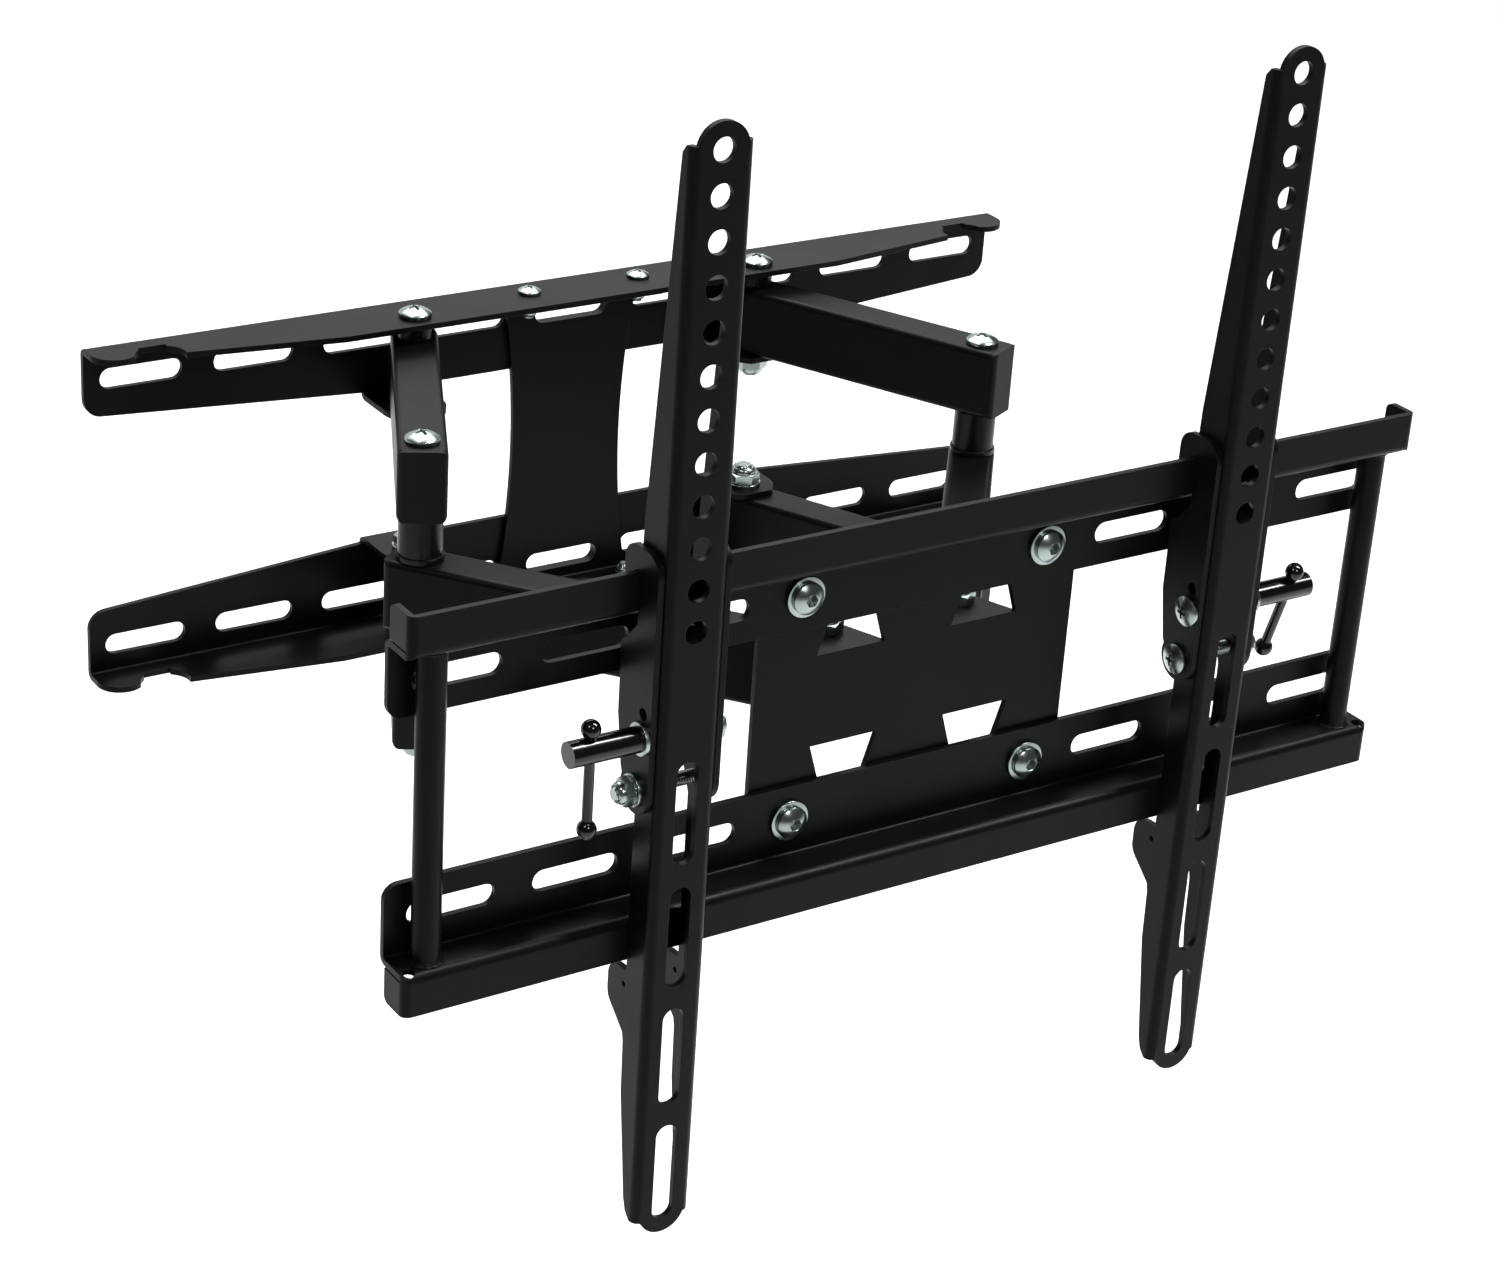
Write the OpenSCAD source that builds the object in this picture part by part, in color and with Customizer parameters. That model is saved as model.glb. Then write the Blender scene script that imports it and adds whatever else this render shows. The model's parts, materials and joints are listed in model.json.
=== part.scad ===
// Full motion wall mount for a flat screen: a wall frame, two pairs of folding arms, a screen
// frame, and two tilting uprights with T-handle locks.
// +X is to the right, +Y goes into the wall, +Z is up. The origin is in the wall face (Y = 0),
// at the middle of the wall frame. All lengths are in millimetres.

/* [Wall frame] */
// Width of the wall frame
frame_w = 450; // [430:1:500]
// Height of the wall frame over its two flanges
frame_h = 148; // [146:1:170]
// Thickness of the sheet steel in every rail and plate
sheet = 2.5; // [2:0.1:2.7]
// Depth of the wall rail flanges
flange_d = 32; // [28:1:36]
// Distance between neighbouring wall slots
wall_slot_pitch = 50; // [46:1:54]
// Length of a wall slot
wall_slot_len = 36; // [20:1:40]
// Width of the slots in all four rails
slot_w = 9; // [6:0.5:10]

/* [Arms] */
// Width of the arm tube
arm_w = 20; // [18:0.5:22]
// Height of the arm tube
arm_h = 30; // [26:0.5:32]
// Distance from wall pivot to elbow
rear_arm_len = 114; // [100:1:125]
// Distance between the left and right wall pivots
pivot_gap = 170; // [150:1:180]
// Distance of the wall pivots from the wall
pivot_out = 21; // [19:0.5:24]
// Angle of the rear arms away from straight out
rest_angle = 26; // [15:1:45]
// Diameter of the pivot bolts
bolt_d = 8; // [6:0.5:8]

/* [Screen frame] */
// Width of the screen frame
tv_w = 456; // [440:1:500]
// Height of the screen frame
tv_h = 158; // [154:1:170]
// Depth of the Z-shaped rails
shelf_d = 18.5; // [17:0.5:22]
// Distance between the two pivots on the screen frame
tv_pivot_gap = 62; // [56:1:66]
// Distance between neighbouring screws of the centre plate, across
plate_screw_gap_x = 112; // [100:1:120]

/* [Uprights] */
// Place of the left upright along the screen frame
left_upright_x = -123; // [-150:1:-110]
// Place of the right upright along the screen frame
right_upright_x = 128; // [110:1:150]
// Width of an upright
upright_w = 25; // [24:0.5:28]
// Height of an upright over its rounded ends
upright_len = 440; // [430:1:450]
// Distance between neighbouring round holes in an upright
hole_pitch = 16; // [14:0.5:16]
// Diameter of the round holes in an upright
hole_d = 9; // [6:0.5:9.5]
// Turn of the right T-handle from hanging straight down
right_handle_turn = 17; // [0:1:40]

/* [Hidden] */
$fn = 64;
e = 1;                                  // overshoot of cutting solids
play = 0.3;                             // gap between faces that turn past each other
bore_d = bolt_d + 0.1;                  // bore that turns on a bolt
bend_r = sheet + 1;                     // outer radius of a sheet bend
inner_z = frame_h / 2 - sheet;          // inside face of the wall flanges
wall_slot_z = inner_z - 12;             // middle of the slots in wall rails and plate

// Heights of the arms: rear arms above and below, forearm between them
boss_h = 7;
rear_top = inner_z - boss_h;
rear_low = rear_top - arm_h;
rear_mid = (rear_top + rear_low) / 2;
ear_top = rear_low - play;

// The fold in plan. Folded flat, elbow and arms lie in one line, so the forearm is this long
forearm_len = rear_arm_len + (pivot_gap - tv_pivot_gap) / 2;
elbow_x = pivot_gap / 2 + rear_arm_len * sin(rest_angle);
elbow_y = -pivot_out - rear_arm_len * cos(rest_angle);
forearm_angle = asin((elbow_x - tv_pivot_gap / 2) / forearm_len);
tv_pivot_y = elbow_y - forearm_len * cos(forearm_angle);

// Arm tube and its ends
tube_wall = 2;
tube_r = 2.5;
cap_t = 3;
plug_l = 2.5;
sleeve_d = bolt_d + 4;
end_over = sleeve_d / 2 + 0.5 + plug_l + cap_t; // from a pivot to the outer face of a cap
open_bore_d = 15;                       // clearance bore of the pivot where the linkage is open
bush_d = 18;                            // elbow bushes and the wider foot that they stand on
bush_foot_d = 19.4;
bush_foot_h = 2;

// Depths of the screen frame
tv_pivot_back = 16;                     // from the centre plate back face to the pivots
plate_y = tv_pivot_y - tv_pivot_back;   // back face of the centre plate
web_y = plate_y - sheet;                // back face of the rail webs
strip_y = web_y - shelf_d;              // front face of the top strip and the bottom lip
strip_h = 17;
shelf_z = tv_h / 2 - strip_h;           // inner face of the shelves
web_drop = 29;                          // height of a web beyond its shelf
tv_slot_z = shelf_z - web_drop / 2 - 1;
tv_slot_len = 36;
tv_slot_first = 98;
tv_slot_pitch = 51.5;
plate_screw_z = 47;
post_d = 11;
post_x = tv_w / 2 - 13;
post_y = web_y - 10;
return_d = 15;                          // depth of the bent-back ends of strip and lip
pivot_tab_z = arm_h / 2 + 1.7;          // inner face of the tabs that hold the forearms
tab_wide = 31;                          // width of tabs and windows at the bend
tab_len = 24;                           // height of the windows that the tabs leave

// Uprights: u is the depth behind the front face
face_gap = 15;                          // from the upright front face to the strip
face_y = strip_y - face_gap;
top_hole_z = upright_len / 2 + 14.9;
lobe_r = 10;
flange_top = top_hole_z + 2;
low_lobe_z = top_hole_z + lobe_r - upright_len + lobe_r;
flange_low = low_lobe_z - 3.5;
round_holes = 12;
long_slots = 4;
long_slot_len = 42;
long_slot_gap = 51.5;
long_slot_z = -13.5;

// Tilt and lock bolts, in y from the strip front face and z
cross_d = 6;                            // diameter of both bolts
tilt_at = [-3.3, -5.5];
lock_at = [-6.6, 16.7];
lock_reach = norm(lock_at - tilt_at);
lock_rest = atan2(lock_at[0] - tilt_at[0], lock_at[1] - tilt_at[1]);
lock_turn = 7.5;                        // travel of the lock bolt in its curved slots, degrees
hook_x = upright_w / 2 + play;          // inner face of a hook plate from the upright middle
hook_out = hook_x + sheet;

// Fasteners
head_d = 14;
head_h = 4.5;
nut_af = 13;
nut_h = 7;
washer_d = 16;
washer_t = 1.6;
screw_d = 5;                            // small screws through flange and wall plate
screw_len = 11;
screw_head_d = 10;
screw_head_h = 3;
screw_nut_af = 8;
screw_nut_h = 4.5;
plate_head_d = 13;                      // screws of the screen frame's centre plate
plate_washer_d = 16.6;
low_head_d = 12;                        // heads of the bolts where the forearms meet the tabs
low_head_h = 4;
cross_head_d = 12.5;                    // heads of tilt and lock bolts
cross_head_h = 4;
small_nut_af = 10;
small_nut_h = 6;
small_washer_d = 12.8;
small_washer_t = 1.5;

// T-handle: a barrel on the lock bolt, and a sliding bar with ball ends across it
barrel_d = 10;
barrel_l = 28.5;
thread_l = 12;
bar_d = 4;
ball_d = 7.5;
bar_span = 40;
bar_at = 19.5;                          // from the washer to the bar
ball_rest = barrel_d / 2 + ball_d / 2 - 0.4;

// Wall plate and its screws
plate_screw_x = 27;
plate_screw_out = 15;
plate_half = 33;                        // half width of the wall plate at its ends
plate_waist = 27;                       // half width of the wall plate in the middle

// ---------------------------------------------------------------- outlines and sheet helpers

// Slot with round ends, its length along X
module slot_2d(len, w) {
    square([len - w, w], center = true);
    for (s = [-1, 1]) translate([s * (len - w) / 2, 0]) circle(d = w);
}

// Rectangle with round corners about the origin
module rounded_2d(w, h, r) {
    square([w - 2 * r, h], center = true);
    square([w, h - 2 * r], center = true);
    for (x = [-1, 1], y = [-1, 1])
        translate([x * (w / 2 - r), y * (h / 2 - r)]) circle(r = r);
}

// Quarter of a bent sheet, round outside towards +X and +Y
module bend_2d() {
    intersection() {
        difference() {
            circle(r = bend_r);
            circle(r = bend_r - sheet);
        }
        square(bend_r);
    }
}

// Solid of an outline drawn in X and Z, reaching from Y = 0 to Y = -depth
module across_y(depth) { rotate([90, 0, 0]) linear_extrude(depth) children(); }

// Solid of an outline drawn in Y and Z, its thickness centred on X = 0
module across_x(width) { rotate([90, 0, 90]) linear_extrude(width, center = true) children(); }

// Both mirror images about the X = 0 plane
module both_sides() {
    children();
    mirror([1, 0, 0]) children();
}

// Copies above and below the Z = 0 plane
module both_levels() {
    children();
    mirror([0, 0, 1]) children();
}

module left() { mirror([1, 0, 0]) children(); }

// Bores down through a rail at a pair of places
module pair_bores(x, y, z, h, d) {
    for (s = [-1, 1]) translate([s * x, y, z]) cylinder(d = d, h = h);
}

// ---------------------------------------------------------------- fasteners, axis along Z

// Pan head: a low cylinder with a domed top, standing on Z = 0
module pan_head(d, h) {
    dome_r = (pow(d / 2, 2) + pow(h * 0.55, 2)) / (2 * h * 0.55);
    cylinder(d = d, h = h * 0.45);
    translate([0, 0, h * 0.45]) intersection() {
        translate([0, 0, h * 0.55 - dome_r]) sphere(r = dome_r);
        cylinder(d = d, h = h);
    }
}

// Bolt hanging down from a head that stands on Z = 0
module bolt(len, d, hd, hh) {
    difference() {
        pan_head(hd, hh);
        translate([0, 0, hh * 0.45]) cylinder(d = hd * 0.4, h = hh, $fn = 6);
    }
    translate([0, 0, -len]) cylinder(d = d, h = len + 0.5);
}

// Hexagon nut hanging down from Z = 0, with a locking collar
module lock_nut(af, h, d) {
    difference() {
        union() {
            translate([0, 0, -h * 0.75]) cylinder(d = af / cos(30), h = h * 0.75, $fn = 6);
            translate([0, 0, -h]) cylinder(d = af * 0.86, h = h * 0.5);
        }
        translate([0, 0, -h - e]) cylinder(d = d + 0.1, h = h + 2 * e);
    }
}

module washer(od, id, t) {
    difference() {
        cylinder(d = od, h = t);
        translate([0, 0, -e]) cylinder(d = id, h = t + 2 * e);
    }
}

// ---------------------------------------------------------------- wall frame

// Flange in plan: full depth in the middle, tapering outwards, with a notch that lets the
// folded elbow pass and a round lobe at each end
module flange_plan() {
    notch_x = pivot_gap / 2 + rear_arm_len;
    notch_r = 10.5;
    neck_d = pivot_out - notch_r;
    both_sides() {
        difference() {
            polygon([[-e, 0], [-e, -flange_d], [frame_w * 0.27, -flange_d],
                     [notch_x - 6, -flange_d * 0.68], [notch_x - 6, 0]]);
            translate([notch_x, -pivot_out]) circle(r = notch_r);
        }
        translate([notch_x - 7, -neck_d]) square([frame_w / 2 - notch_x + 7, neck_d]);
        translate([frame_w / 2 - 10, -10]) difference() {
            circle(r = 10);
            translate([-frame_w / 2 + notch_x + 10, -pivot_out + 10]) circle(r = notch_r);
        }
    }
}

// Web of the top rail from the front: highest between the pivots, lower towards round ends
module web_front() {
    end_low = rear_low + 9;
    mid_x = pivot_gap / 2 + 13;
    corner_r = 8;
    both_sides() {
        polygon([[-e, frame_h / 2], [-e, ear_top + 0.8], [mid_x, ear_top + 0.8],
                 [frame_w / 2 - corner_r, end_low], [frame_w / 2 - corner_r, frame_h / 2]]);
        translate([frame_w / 2 - corner_r - e, end_low + corner_r])
            square([corner_r + e, frame_h / 2 - end_low - corner_r]);
        translate([frame_w / 2 - corner_r, end_low + corner_r]) circle(r = corner_r);
    }
}

// Section of the top rail: web at the wall, flange forward at the top
module wall_profile() {
    translate([-sheet, 0]) square([sheet, frame_h / 2 - bend_r]);
    translate([-flange_d, inner_z]) square([flange_d - bend_r, sheet]);
    translate([-bend_r, frame_h / 2 - bend_r]) bend_2d();
}

// Round ear bent forward out of the lower web edge, under a rear arm
module ear() {
    ear_r = 14;
    intersection() {
        union() {
            across_x(2 * ear_r) translate([-bend_r, ear_top - sheet + bend_r])
                mirror([0, 1]) bend_2d();
            across_x(2 * ear_r) translate([-flange_d - e, ear_top - sheet])
                square([flange_d + e - bend_r, sheet]);
            across_x(2 * ear_r) translate([-sheet, ear_top - sheet + bend_r])
                square([sheet, bend_r]);
        }
        translate([0, 0, ear_top - 2 * sheet]) linear_extrude(4 * sheet) {
            translate([-ear_r, -pivot_out]) square([2 * ear_r, pivot_out]);
            translate([0, -pivot_out]) circle(r = ear_r);
        }
    }
}

module wall_slots() {
    for (k = [-4:4]) translate([k * wall_slot_pitch, e, wall_slot_z])
        across_y(sheet * 3) slot_2d(wall_slot_len, slot_w);
}

module wall_rail() {
    difference() {
        union() {
            intersection() {
                across_x(frame_w) wall_profile();
                across_y(flange_d) web_front();
                linear_extrude(frame_h) flange_plan();
            }
            for (s = [-1, 1]) translate([s * pivot_gap / 2, 0, 0]) ear();
        }
        wall_slots();
        pair_bores(pivot_gap / 2, -pivot_out, 0, frame_h, bore_d);
        pair_bores(plate_screw_x, -plate_screw_out, inner_z - e, sheet + 2 * e, screw_d + 0.1);
    }
}

module wall_top_rail() { color("#1c1d1f") wall_rail(); }

module wall_bottom_rail() { color("#1c1d1f") mirror([0, 0, 1]) wall_rail(); }

// Plate with hollow sides in front of both webs, its ends bent forward under the flanges
module wall_center_plate() {
    tab_d = 24;
    bow = plate_half - plate_waist;
    bow_z = inner_z - bend_r - 1;       // the hollow sides end clear of the bends
    bow_r = (pow(bow_z, 2) + pow(bow, 2)) / (2 * bow);
    color("#1a1b1d") translate([0, -sheet, 0]) difference() {
        union() {
            across_y(sheet) square([2 * plate_half, 2 * (inner_z - bend_r)], center = true);
            both_levels() {
                across_x(2 * plate_half) translate([-bend_r, inner_z - bend_r]) bend_2d();
                translate([0, 0, inner_z - sheet]) linear_extrude(sheet)
                    translate([-plate_half, -tab_d]) square([2 * plate_half, tab_d - bend_r]);
            }
        }
        for (s = [-1, 1]) translate([s * (plate_waist + bow_r), e, 0])
            across_y(tab_d + 2 * e) circle(r = bow_r, $fn = 256);
        both_levels() {
            translate([0, e, wall_slot_z]) across_y(2 * sheet) slot_2d(wall_slot_len, slot_w);
            pair_bores(plate_screw_x, sheet - plate_screw_out, inner_z - sheet - e,
                       sheet + 2 * e, screw_d + 0.1);
        }
    }
}

// Four small screws through flange and plate, heads outside
module wall_plate_screws() {
    color("#c9ccd0") both_levels() for (s = [-1, 1])
        translate([s * plate_screw_x, -plate_screw_out, frame_h / 2])
            bolt(screw_len, screw_d, screw_head_d, screw_head_h);
}

module wall_plate_nuts() {
    color("#b9bdc2") both_levels() for (s = [-1, 1])
        translate([s * plate_screw_x, -plate_screw_out, inner_z - sheet])
            lock_nut(screw_nut_af, screw_nut_h, screw_d);
}

// Bolts of the two wall pivots on one side: through flange, spacer, arm and ear
module wall_pivot_bolts() {
    len = frame_h / 2 - ear_top + sheet + nut_h + washer_t + 1;
    color("#c9ccd0") both_levels() translate([pivot_gap / 2, -pivot_out, frame_h / 2])
        bolt(len, bolt_d, head_d, head_h);
}

module wall_pivot_bolts_right() { wall_pivot_bolts(); }

module wall_pivot_bolts_left() { left() wall_pivot_bolts(); }

module wall_pivot_nuts() {
    color("#b9bdc2") both_levels() for (s = [-1, 1])
        translate([s * pivot_gap / 2, -pivot_out, ear_top - sheet - washer_t])
            lock_nut(nut_af, nut_h, bolt_d);
}

module wall_pivot_washers() {
    color("#c2c6ca") both_levels() for (s = [-1, 1])
        translate([s * pivot_gap / 2, -pivot_out, ear_top - sheet - washer_t])
            washer(washer_d, bore_d, washer_t);
}

// Round spacers between the flanges and the rear arms
module wall_pivot_spacers() {
    color("#17181a") both_levels() for (s = [-1, 1])
        translate([s * pivot_gap / 2, -pivot_out, rear_top + play])
            washer(head_d, bore_d, boss_h - play);
}

// ---------------------------------------------------------------- arms

// Hollow arm tube from one pivot at the origin to the other at Y = -len, centred on Z = 0
module arm_tube(len) {
    over = end_over - cap_t;
    translate([0, over, 0]) across_y(len + 2 * over) difference() {
        rounded_2d(arm_w, arm_h, tube_r);
        rounded_2d(arm_w - 2 * tube_wall, arm_h - 2 * tube_wall, tube_r - 1);
    }
}

module arm_bore(y, d) { translate([0, y, -arm_h]) cylinder(d = d, h = 2 * arm_h); }

// Cap with its outer face at Y = end_over: a plate with round corners and a plug in the tube
module arm_cap() {
    fit = 2 * tube_wall + 0.2;
    corner = 3;
    intersection() {
        translate([0, end_over, 0]) across_y(cap_t) rounded_2d(arm_w, arm_h, corner);
        translate([0, 0, -arm_h]) linear_extrude(2 * arm_h) union() {
            translate([-arm_w / 2, 0]) square([arm_w, end_over - corner]);
            translate([corner - arm_w / 2, 0]) square([arm_w - 2 * corner, end_over]);
            for (s = [-1, 1]) translate([s * (arm_w / 2 - corner), end_over - corner])
                circle(r = corner);
        }
    }
    translate([0, end_over - cap_t, 0]) across_y(plug_l)
        rounded_2d(arm_w - fit, arm_h - fit, tube_r - 1);
}

module arm_caps(len) {
    arm_cap();
    translate([0, -len, 0]) mirror([0, 1, 0]) arm_cap();
}

// Sleeve inside an arm, between its upper and lower wall, around a turning bolt
module arm_sleeve() {
    h = arm_h - 2 * tube_wall;
    translate([0, 0, -h / 2]) washer(sleeve_d, bore_d, h);
}

// Places a piece of the right rear arm, or of the right forearm
module at_rear_arm() {
    translate([pivot_gap / 2, -pivot_out, 0]) rotate([0, 0, rest_angle]) children();
}

module at_forearm() {
    translate([elbow_x, elbow_y, 0]) rotate([0, 0, -forearm_angle]) children();
}

module rear_arm() {
    difference() {
        arm_tube(rear_arm_len);
        arm_bore(0, bore_d);
        arm_bore(-rear_arm_len, bore_d);
    }
}

module rear_arm_upper() { color("#202123") at_rear_arm() translate([0, 0, rear_mid]) rear_arm(); }

module rear_arm_lower() { color("#202123") at_rear_arm() translate([0, 0, -rear_mid]) rear_arm(); }

module rear_arm_caps() {
    color("#151618") at_rear_arm() both_levels() translate([0, 0, rear_mid])
        arm_caps(rear_arm_len);
}

module rear_arm_sleeves() {
    color("#9a9da1") at_rear_arm() both_levels() translate([0, 0, rear_mid]) {
        arm_sleeve();
        translate([0, -rear_arm_len, 0]) arm_sleeve();
    }
}

// One long bolt holds both rear arms and carries the forearm between them
module elbow_bolt() {
    color("#c9ccd0") translate([elbow_x, elbow_y, rear_top])
        bolt(2 * rear_top + nut_h - 1, bolt_d, head_d, head_h);
}

module elbow_nut() {
    color("#b9bdc2") translate([elbow_x, elbow_y, -rear_top]) lock_nut(nut_af, nut_h, bolt_d);
}

// Stepped plastic bushes between the forearm and the rear arms
module elbow_bushes() {
    low = arm_h / 2 + play;
    color("#161719") both_levels() translate([elbow_x, elbow_y, low]) difference() {
        union() {
            cylinder(d = bush_d, h = rear_low - low);
            cylinder(d = bush_foot_d, h = bush_foot_h);
        }
        translate([0, 0, -e]) cylinder(d = bore_d, h = rear_low);
    }
}

module rear_arm_upper_right() { rear_arm_upper(); }

module rear_arm_lower_right() { rear_arm_lower(); }

module rear_arm_caps_right() { rear_arm_caps(); }

module rear_arm_sleeves_right() { rear_arm_sleeves(); }

module elbow_bolt_right() { elbow_bolt(); }

module elbow_nut_right() { elbow_nut(); }

module elbow_bushes_right() { elbow_bushes(); }

module rear_arm_upper_left() { left() rear_arm_upper(); }

module rear_arm_lower_left() { left() rear_arm_lower(); }

module rear_arm_caps_left() { left() rear_arm_caps(); }

module rear_arm_sleeves_left() { left() rear_arm_sleeves(); }

module elbow_bolt_left() { left() elbow_bolt(); }

module elbow_nut_left() { left() elbow_nut(); }

module elbow_bushes_left() { left() elbow_bushes(); }

// Forearm with a turning bore at the elbow and one of the given size at the screen frame
module forearm(tv_bore) {
    color("#202123") at_forearm() difference() {
        arm_tube(forearm_len);
        arm_bore(0, bore_d);
        arm_bore(-forearm_len, tv_bore);
    }
}

module forearm_caps() { color("#151618") at_forearm() arm_caps(forearm_len); }

module forearm_left() { left() forearm(bore_d); }

module forearm_right() { forearm(open_bore_d); }

module forearm_caps_left() { left() forearm_caps(); }

module forearm_caps_right() { forearm_caps(); }

module forearm_sleeves_left() {
    color("#9a9da1") left() at_forearm() {
        arm_sleeve();
        translate([0, -forearm_len, 0]) arm_sleeve();
    }
}

// The right forearm has no sleeve at the screen frame, where its bore is wide
module forearm_sleeve_right() { color("#9a9da1") at_forearm() arm_sleeve(); }

// ---------------------------------------------------------------- screen frame

// Z section of the top rail: web down at the back, shelf, strip up at the front. The back
// face of the web is at X = 0 and the underside of the shelf at Y = 0
module tv_profile() {
    translate([-sheet, -web_drop]) square([sheet, web_drop + sheet - bend_r]);
    translate([-bend_r, sheet - bend_r]) bend_2d();
    translate([bend_r - shelf_d, 0]) square([shelf_d - 2 * bend_r, sheet]);
    translate([bend_r - shelf_d, bend_r]) rotate(180) bend_2d();
    translate([-shelf_d, bend_r]) square([sheet, strip_h - bend_r]);
}

// Rail outline from the front, with the free web corners rounded
module tv_front() {
    corner_r = 6;
    h = strip_h + web_drop;
    translate([-tv_w / 2, corner_r - web_drop]) square([tv_w, h - corner_r]);
    translate([corner_r - tv_w / 2, -web_drop]) square([tv_w - 2 * corner_r, h]);
    for (s = [-1, 1]) translate([s * (tv_w / 2 - corner_r), corner_r - web_drop])
        circle(r = corner_r);
}

// Rail outline from above, with the front corners rounded where strip and end tab bend
module tv_plan() {
    translate([-tv_w / 2, bend_r - shelf_d]) square([tv_w, shelf_d - bend_r]);
    translate([bend_r - tv_w / 2, -shelf_d]) square([tv_w - 2 * bend_r, shelf_d]);
    for (s = [-1, 1]) translate([s * (tv_w / 2 - bend_r), bend_r - shelf_d]) circle(r = bend_r);
}

// End of the strip, bent back and free of the shelf, with its far upper corner rounded
module end_return() {
    corner_r = 3;
    low = sheet + 0.8;
    across_x(sheet) {
        translate([-shelf_d, low]) square([return_d, strip_h - corner_r - low]);
        translate([-shelf_d, low]) square([return_d - corner_r, strip_h - low]);
        translate([return_d - shelf_d - corner_r, strip_h - corner_r]) circle(r = corner_r);
    }
}

module tv_rail() {
    translate([0, web_y, shelf_z]) difference() {
        intersection() {
            union() {
                across_x(tv_w) tv_profile();
                for (s = [-1, 1]) translate([s * (tv_w - sheet) / 2, 0, 0]) end_return();
            }
            across_y(shelf_d) tv_front();
            translate([0, 0, -web_drop]) linear_extrude(web_drop + strip_h) tv_plan();
        }
        for (s = [-1, 1], k = [0:2])
            translate([s * (tv_slot_first + k * tv_slot_pitch), e, tv_slot_z - shelf_z])
                across_y(3 * sheet) slot_2d(tv_slot_len, slot_w);
        for (s = [-1, 1]) translate([s * plate_screw_gap_x / 2, e, plate_screw_z - shelf_z])
            across_y(3 * sheet) circle(d = bore_d);
        for (s = [-1, 1]) translate([s * (tv_w / 2 - bend_r), bend_r - shelf_d, -e])
            cylinder(d = 5, h = sheet + 2 * e);
    }
}

module tv_top_rail() { color("#1b1c1e") tv_rail(); }

module tv_bottom_rail() { color("#1b1c1e") mirror([0, 0, 1]) tv_rail(); }

// Outline of a window in the centre plate, from its bend line upwards
module window_2d() {
    narrow = 8;
    polygon([[-tab_wide / 2, 0], [tab_wide / 2, 0], [narrow, tab_len], [-narrow, tab_len]]);
}

// Tab in plan, from the plate back face towards the wall, round about its pivot
module tab_2d() {
    round_r = 9;
    polygon([[-tab_wide / 2, 0], [tab_wide / 2, 0], [round_r - 0.4, tv_pivot_back + 1],
             [0.4 - round_r, tv_pivot_back + 1]]);
    translate([0, tv_pivot_back]) circle(r = round_r);
}

// Plate behind both webs with four windows, and the tabs that hold the forearms
module tv_center_plate() {
    half_w = 73.5;
    half_h = shelf_z - 2;
    color("#191a1c") translate([0, plate_y, 0]) difference() {
        union() {
            difference() {
                across_y(sheet) rounded_2d(2 * half_w, 2 * half_h, 5);
                for (s = [-1, 1], m = [0, 1]) mirror([0, 0, m])
                    translate([s * tv_pivot_gap / 2, e, pivot_tab_z + sheet])
                        across_y(3 * sheet) window_2d();
            }
            both_levels() for (s = [-1, 1])
                translate([s * tv_pivot_gap / 2, -e, pivot_tab_z]) linear_extrude(sheet)
                    translate([0, e]) tab_2d();
            both_levels() for (s = [-1, 1])
                translate([s * tv_pivot_gap / 2, 0, pivot_tab_z]) linear_extrude(sheet)
                    translate([-tab_wide / 2, -sheet]) square([tab_wide, sheet + 0.5]);
        }
        for (s = [-1, 1]) translate([s * tv_pivot_gap / 2, tv_pivot_back, -tv_h / 2])
            cylinder(d = bore_d, h = tv_h);
        for (x = [-1, 1], z = [-1, 1])
            translate([x * plate_screw_gap_x / 2, e, z * plate_screw_z])
                across_y(3 * sheet) circle(d = bore_d);
    }
}

module tv_post() {
    color("#1d1e20") translate([post_x, post_y, -shelf_z]) cylinder(d = post_d, h = 2 * shelf_z);
}

module tv_post_right() { tv_post(); }

module tv_post_left() { left() tv_post(); }

// Places a piece at each screw of the centre plate, its axis pointing out of the front
module at_plate_screws(y) {
    for (x = [-1, 1], z = [-1, 1])
        translate([x * plate_screw_gap_x / 2, y, z * plate_screw_z]) rotate([90, 0, 0])
            children();
}

module tv_plate_screws() {
    color("#cdd0d4") at_plate_screws(web_y - sheet - washer_t)
        bolt(2 * sheet + washer_t + nut_h + 1, bolt_d, plate_head_d, head_h);
}

module tv_plate_washers() {
    color("#c2c6ca") at_plate_screws(web_y - sheet) washer(plate_washer_d, bore_d, washer_t);
}

module tv_plate_nuts() {
    color("#b9bdc2") at_plate_screws(plate_y) lock_nut(nut_af, nut_h, bolt_d);
}

// Bolts through tabs and forearm ends, with their heads below
module tv_pivot_bolts() {
    tab_out = pivot_tab_z + sheet;
    color("#c9ccd0") for (s = [-1, 1])
        translate([s * tv_pivot_gap / 2, tv_pivot_y, -tab_out]) mirror([0, 0, 1])
            bolt(2 * tab_out + nut_h + 1, bolt_d, low_head_d, low_head_h);
}

module tv_pivot_nuts() {
    color("#b9bdc2") for (s = [-1, 1])
        translate([s * tv_pivot_gap / 2, tv_pivot_y, pivot_tab_z + sheet]) mirror([0, 0, 1])
            lock_nut(nut_af, nut_h, bolt_d);
}

// Thin plastic washers between the tabs and the forearms
module tv_pivot_washers() {
    t = pivot_tab_z - arm_h / 2 - play;
    color("#18191b") both_levels() for (s = [-1, 1])
        translate([s * tv_pivot_gap / 2, tv_pivot_y, pivot_tab_z - t])
            washer(washer_d, bore_d, t);
}

// ---------------------------------------------------------------- hooks, tilt and uprights

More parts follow.
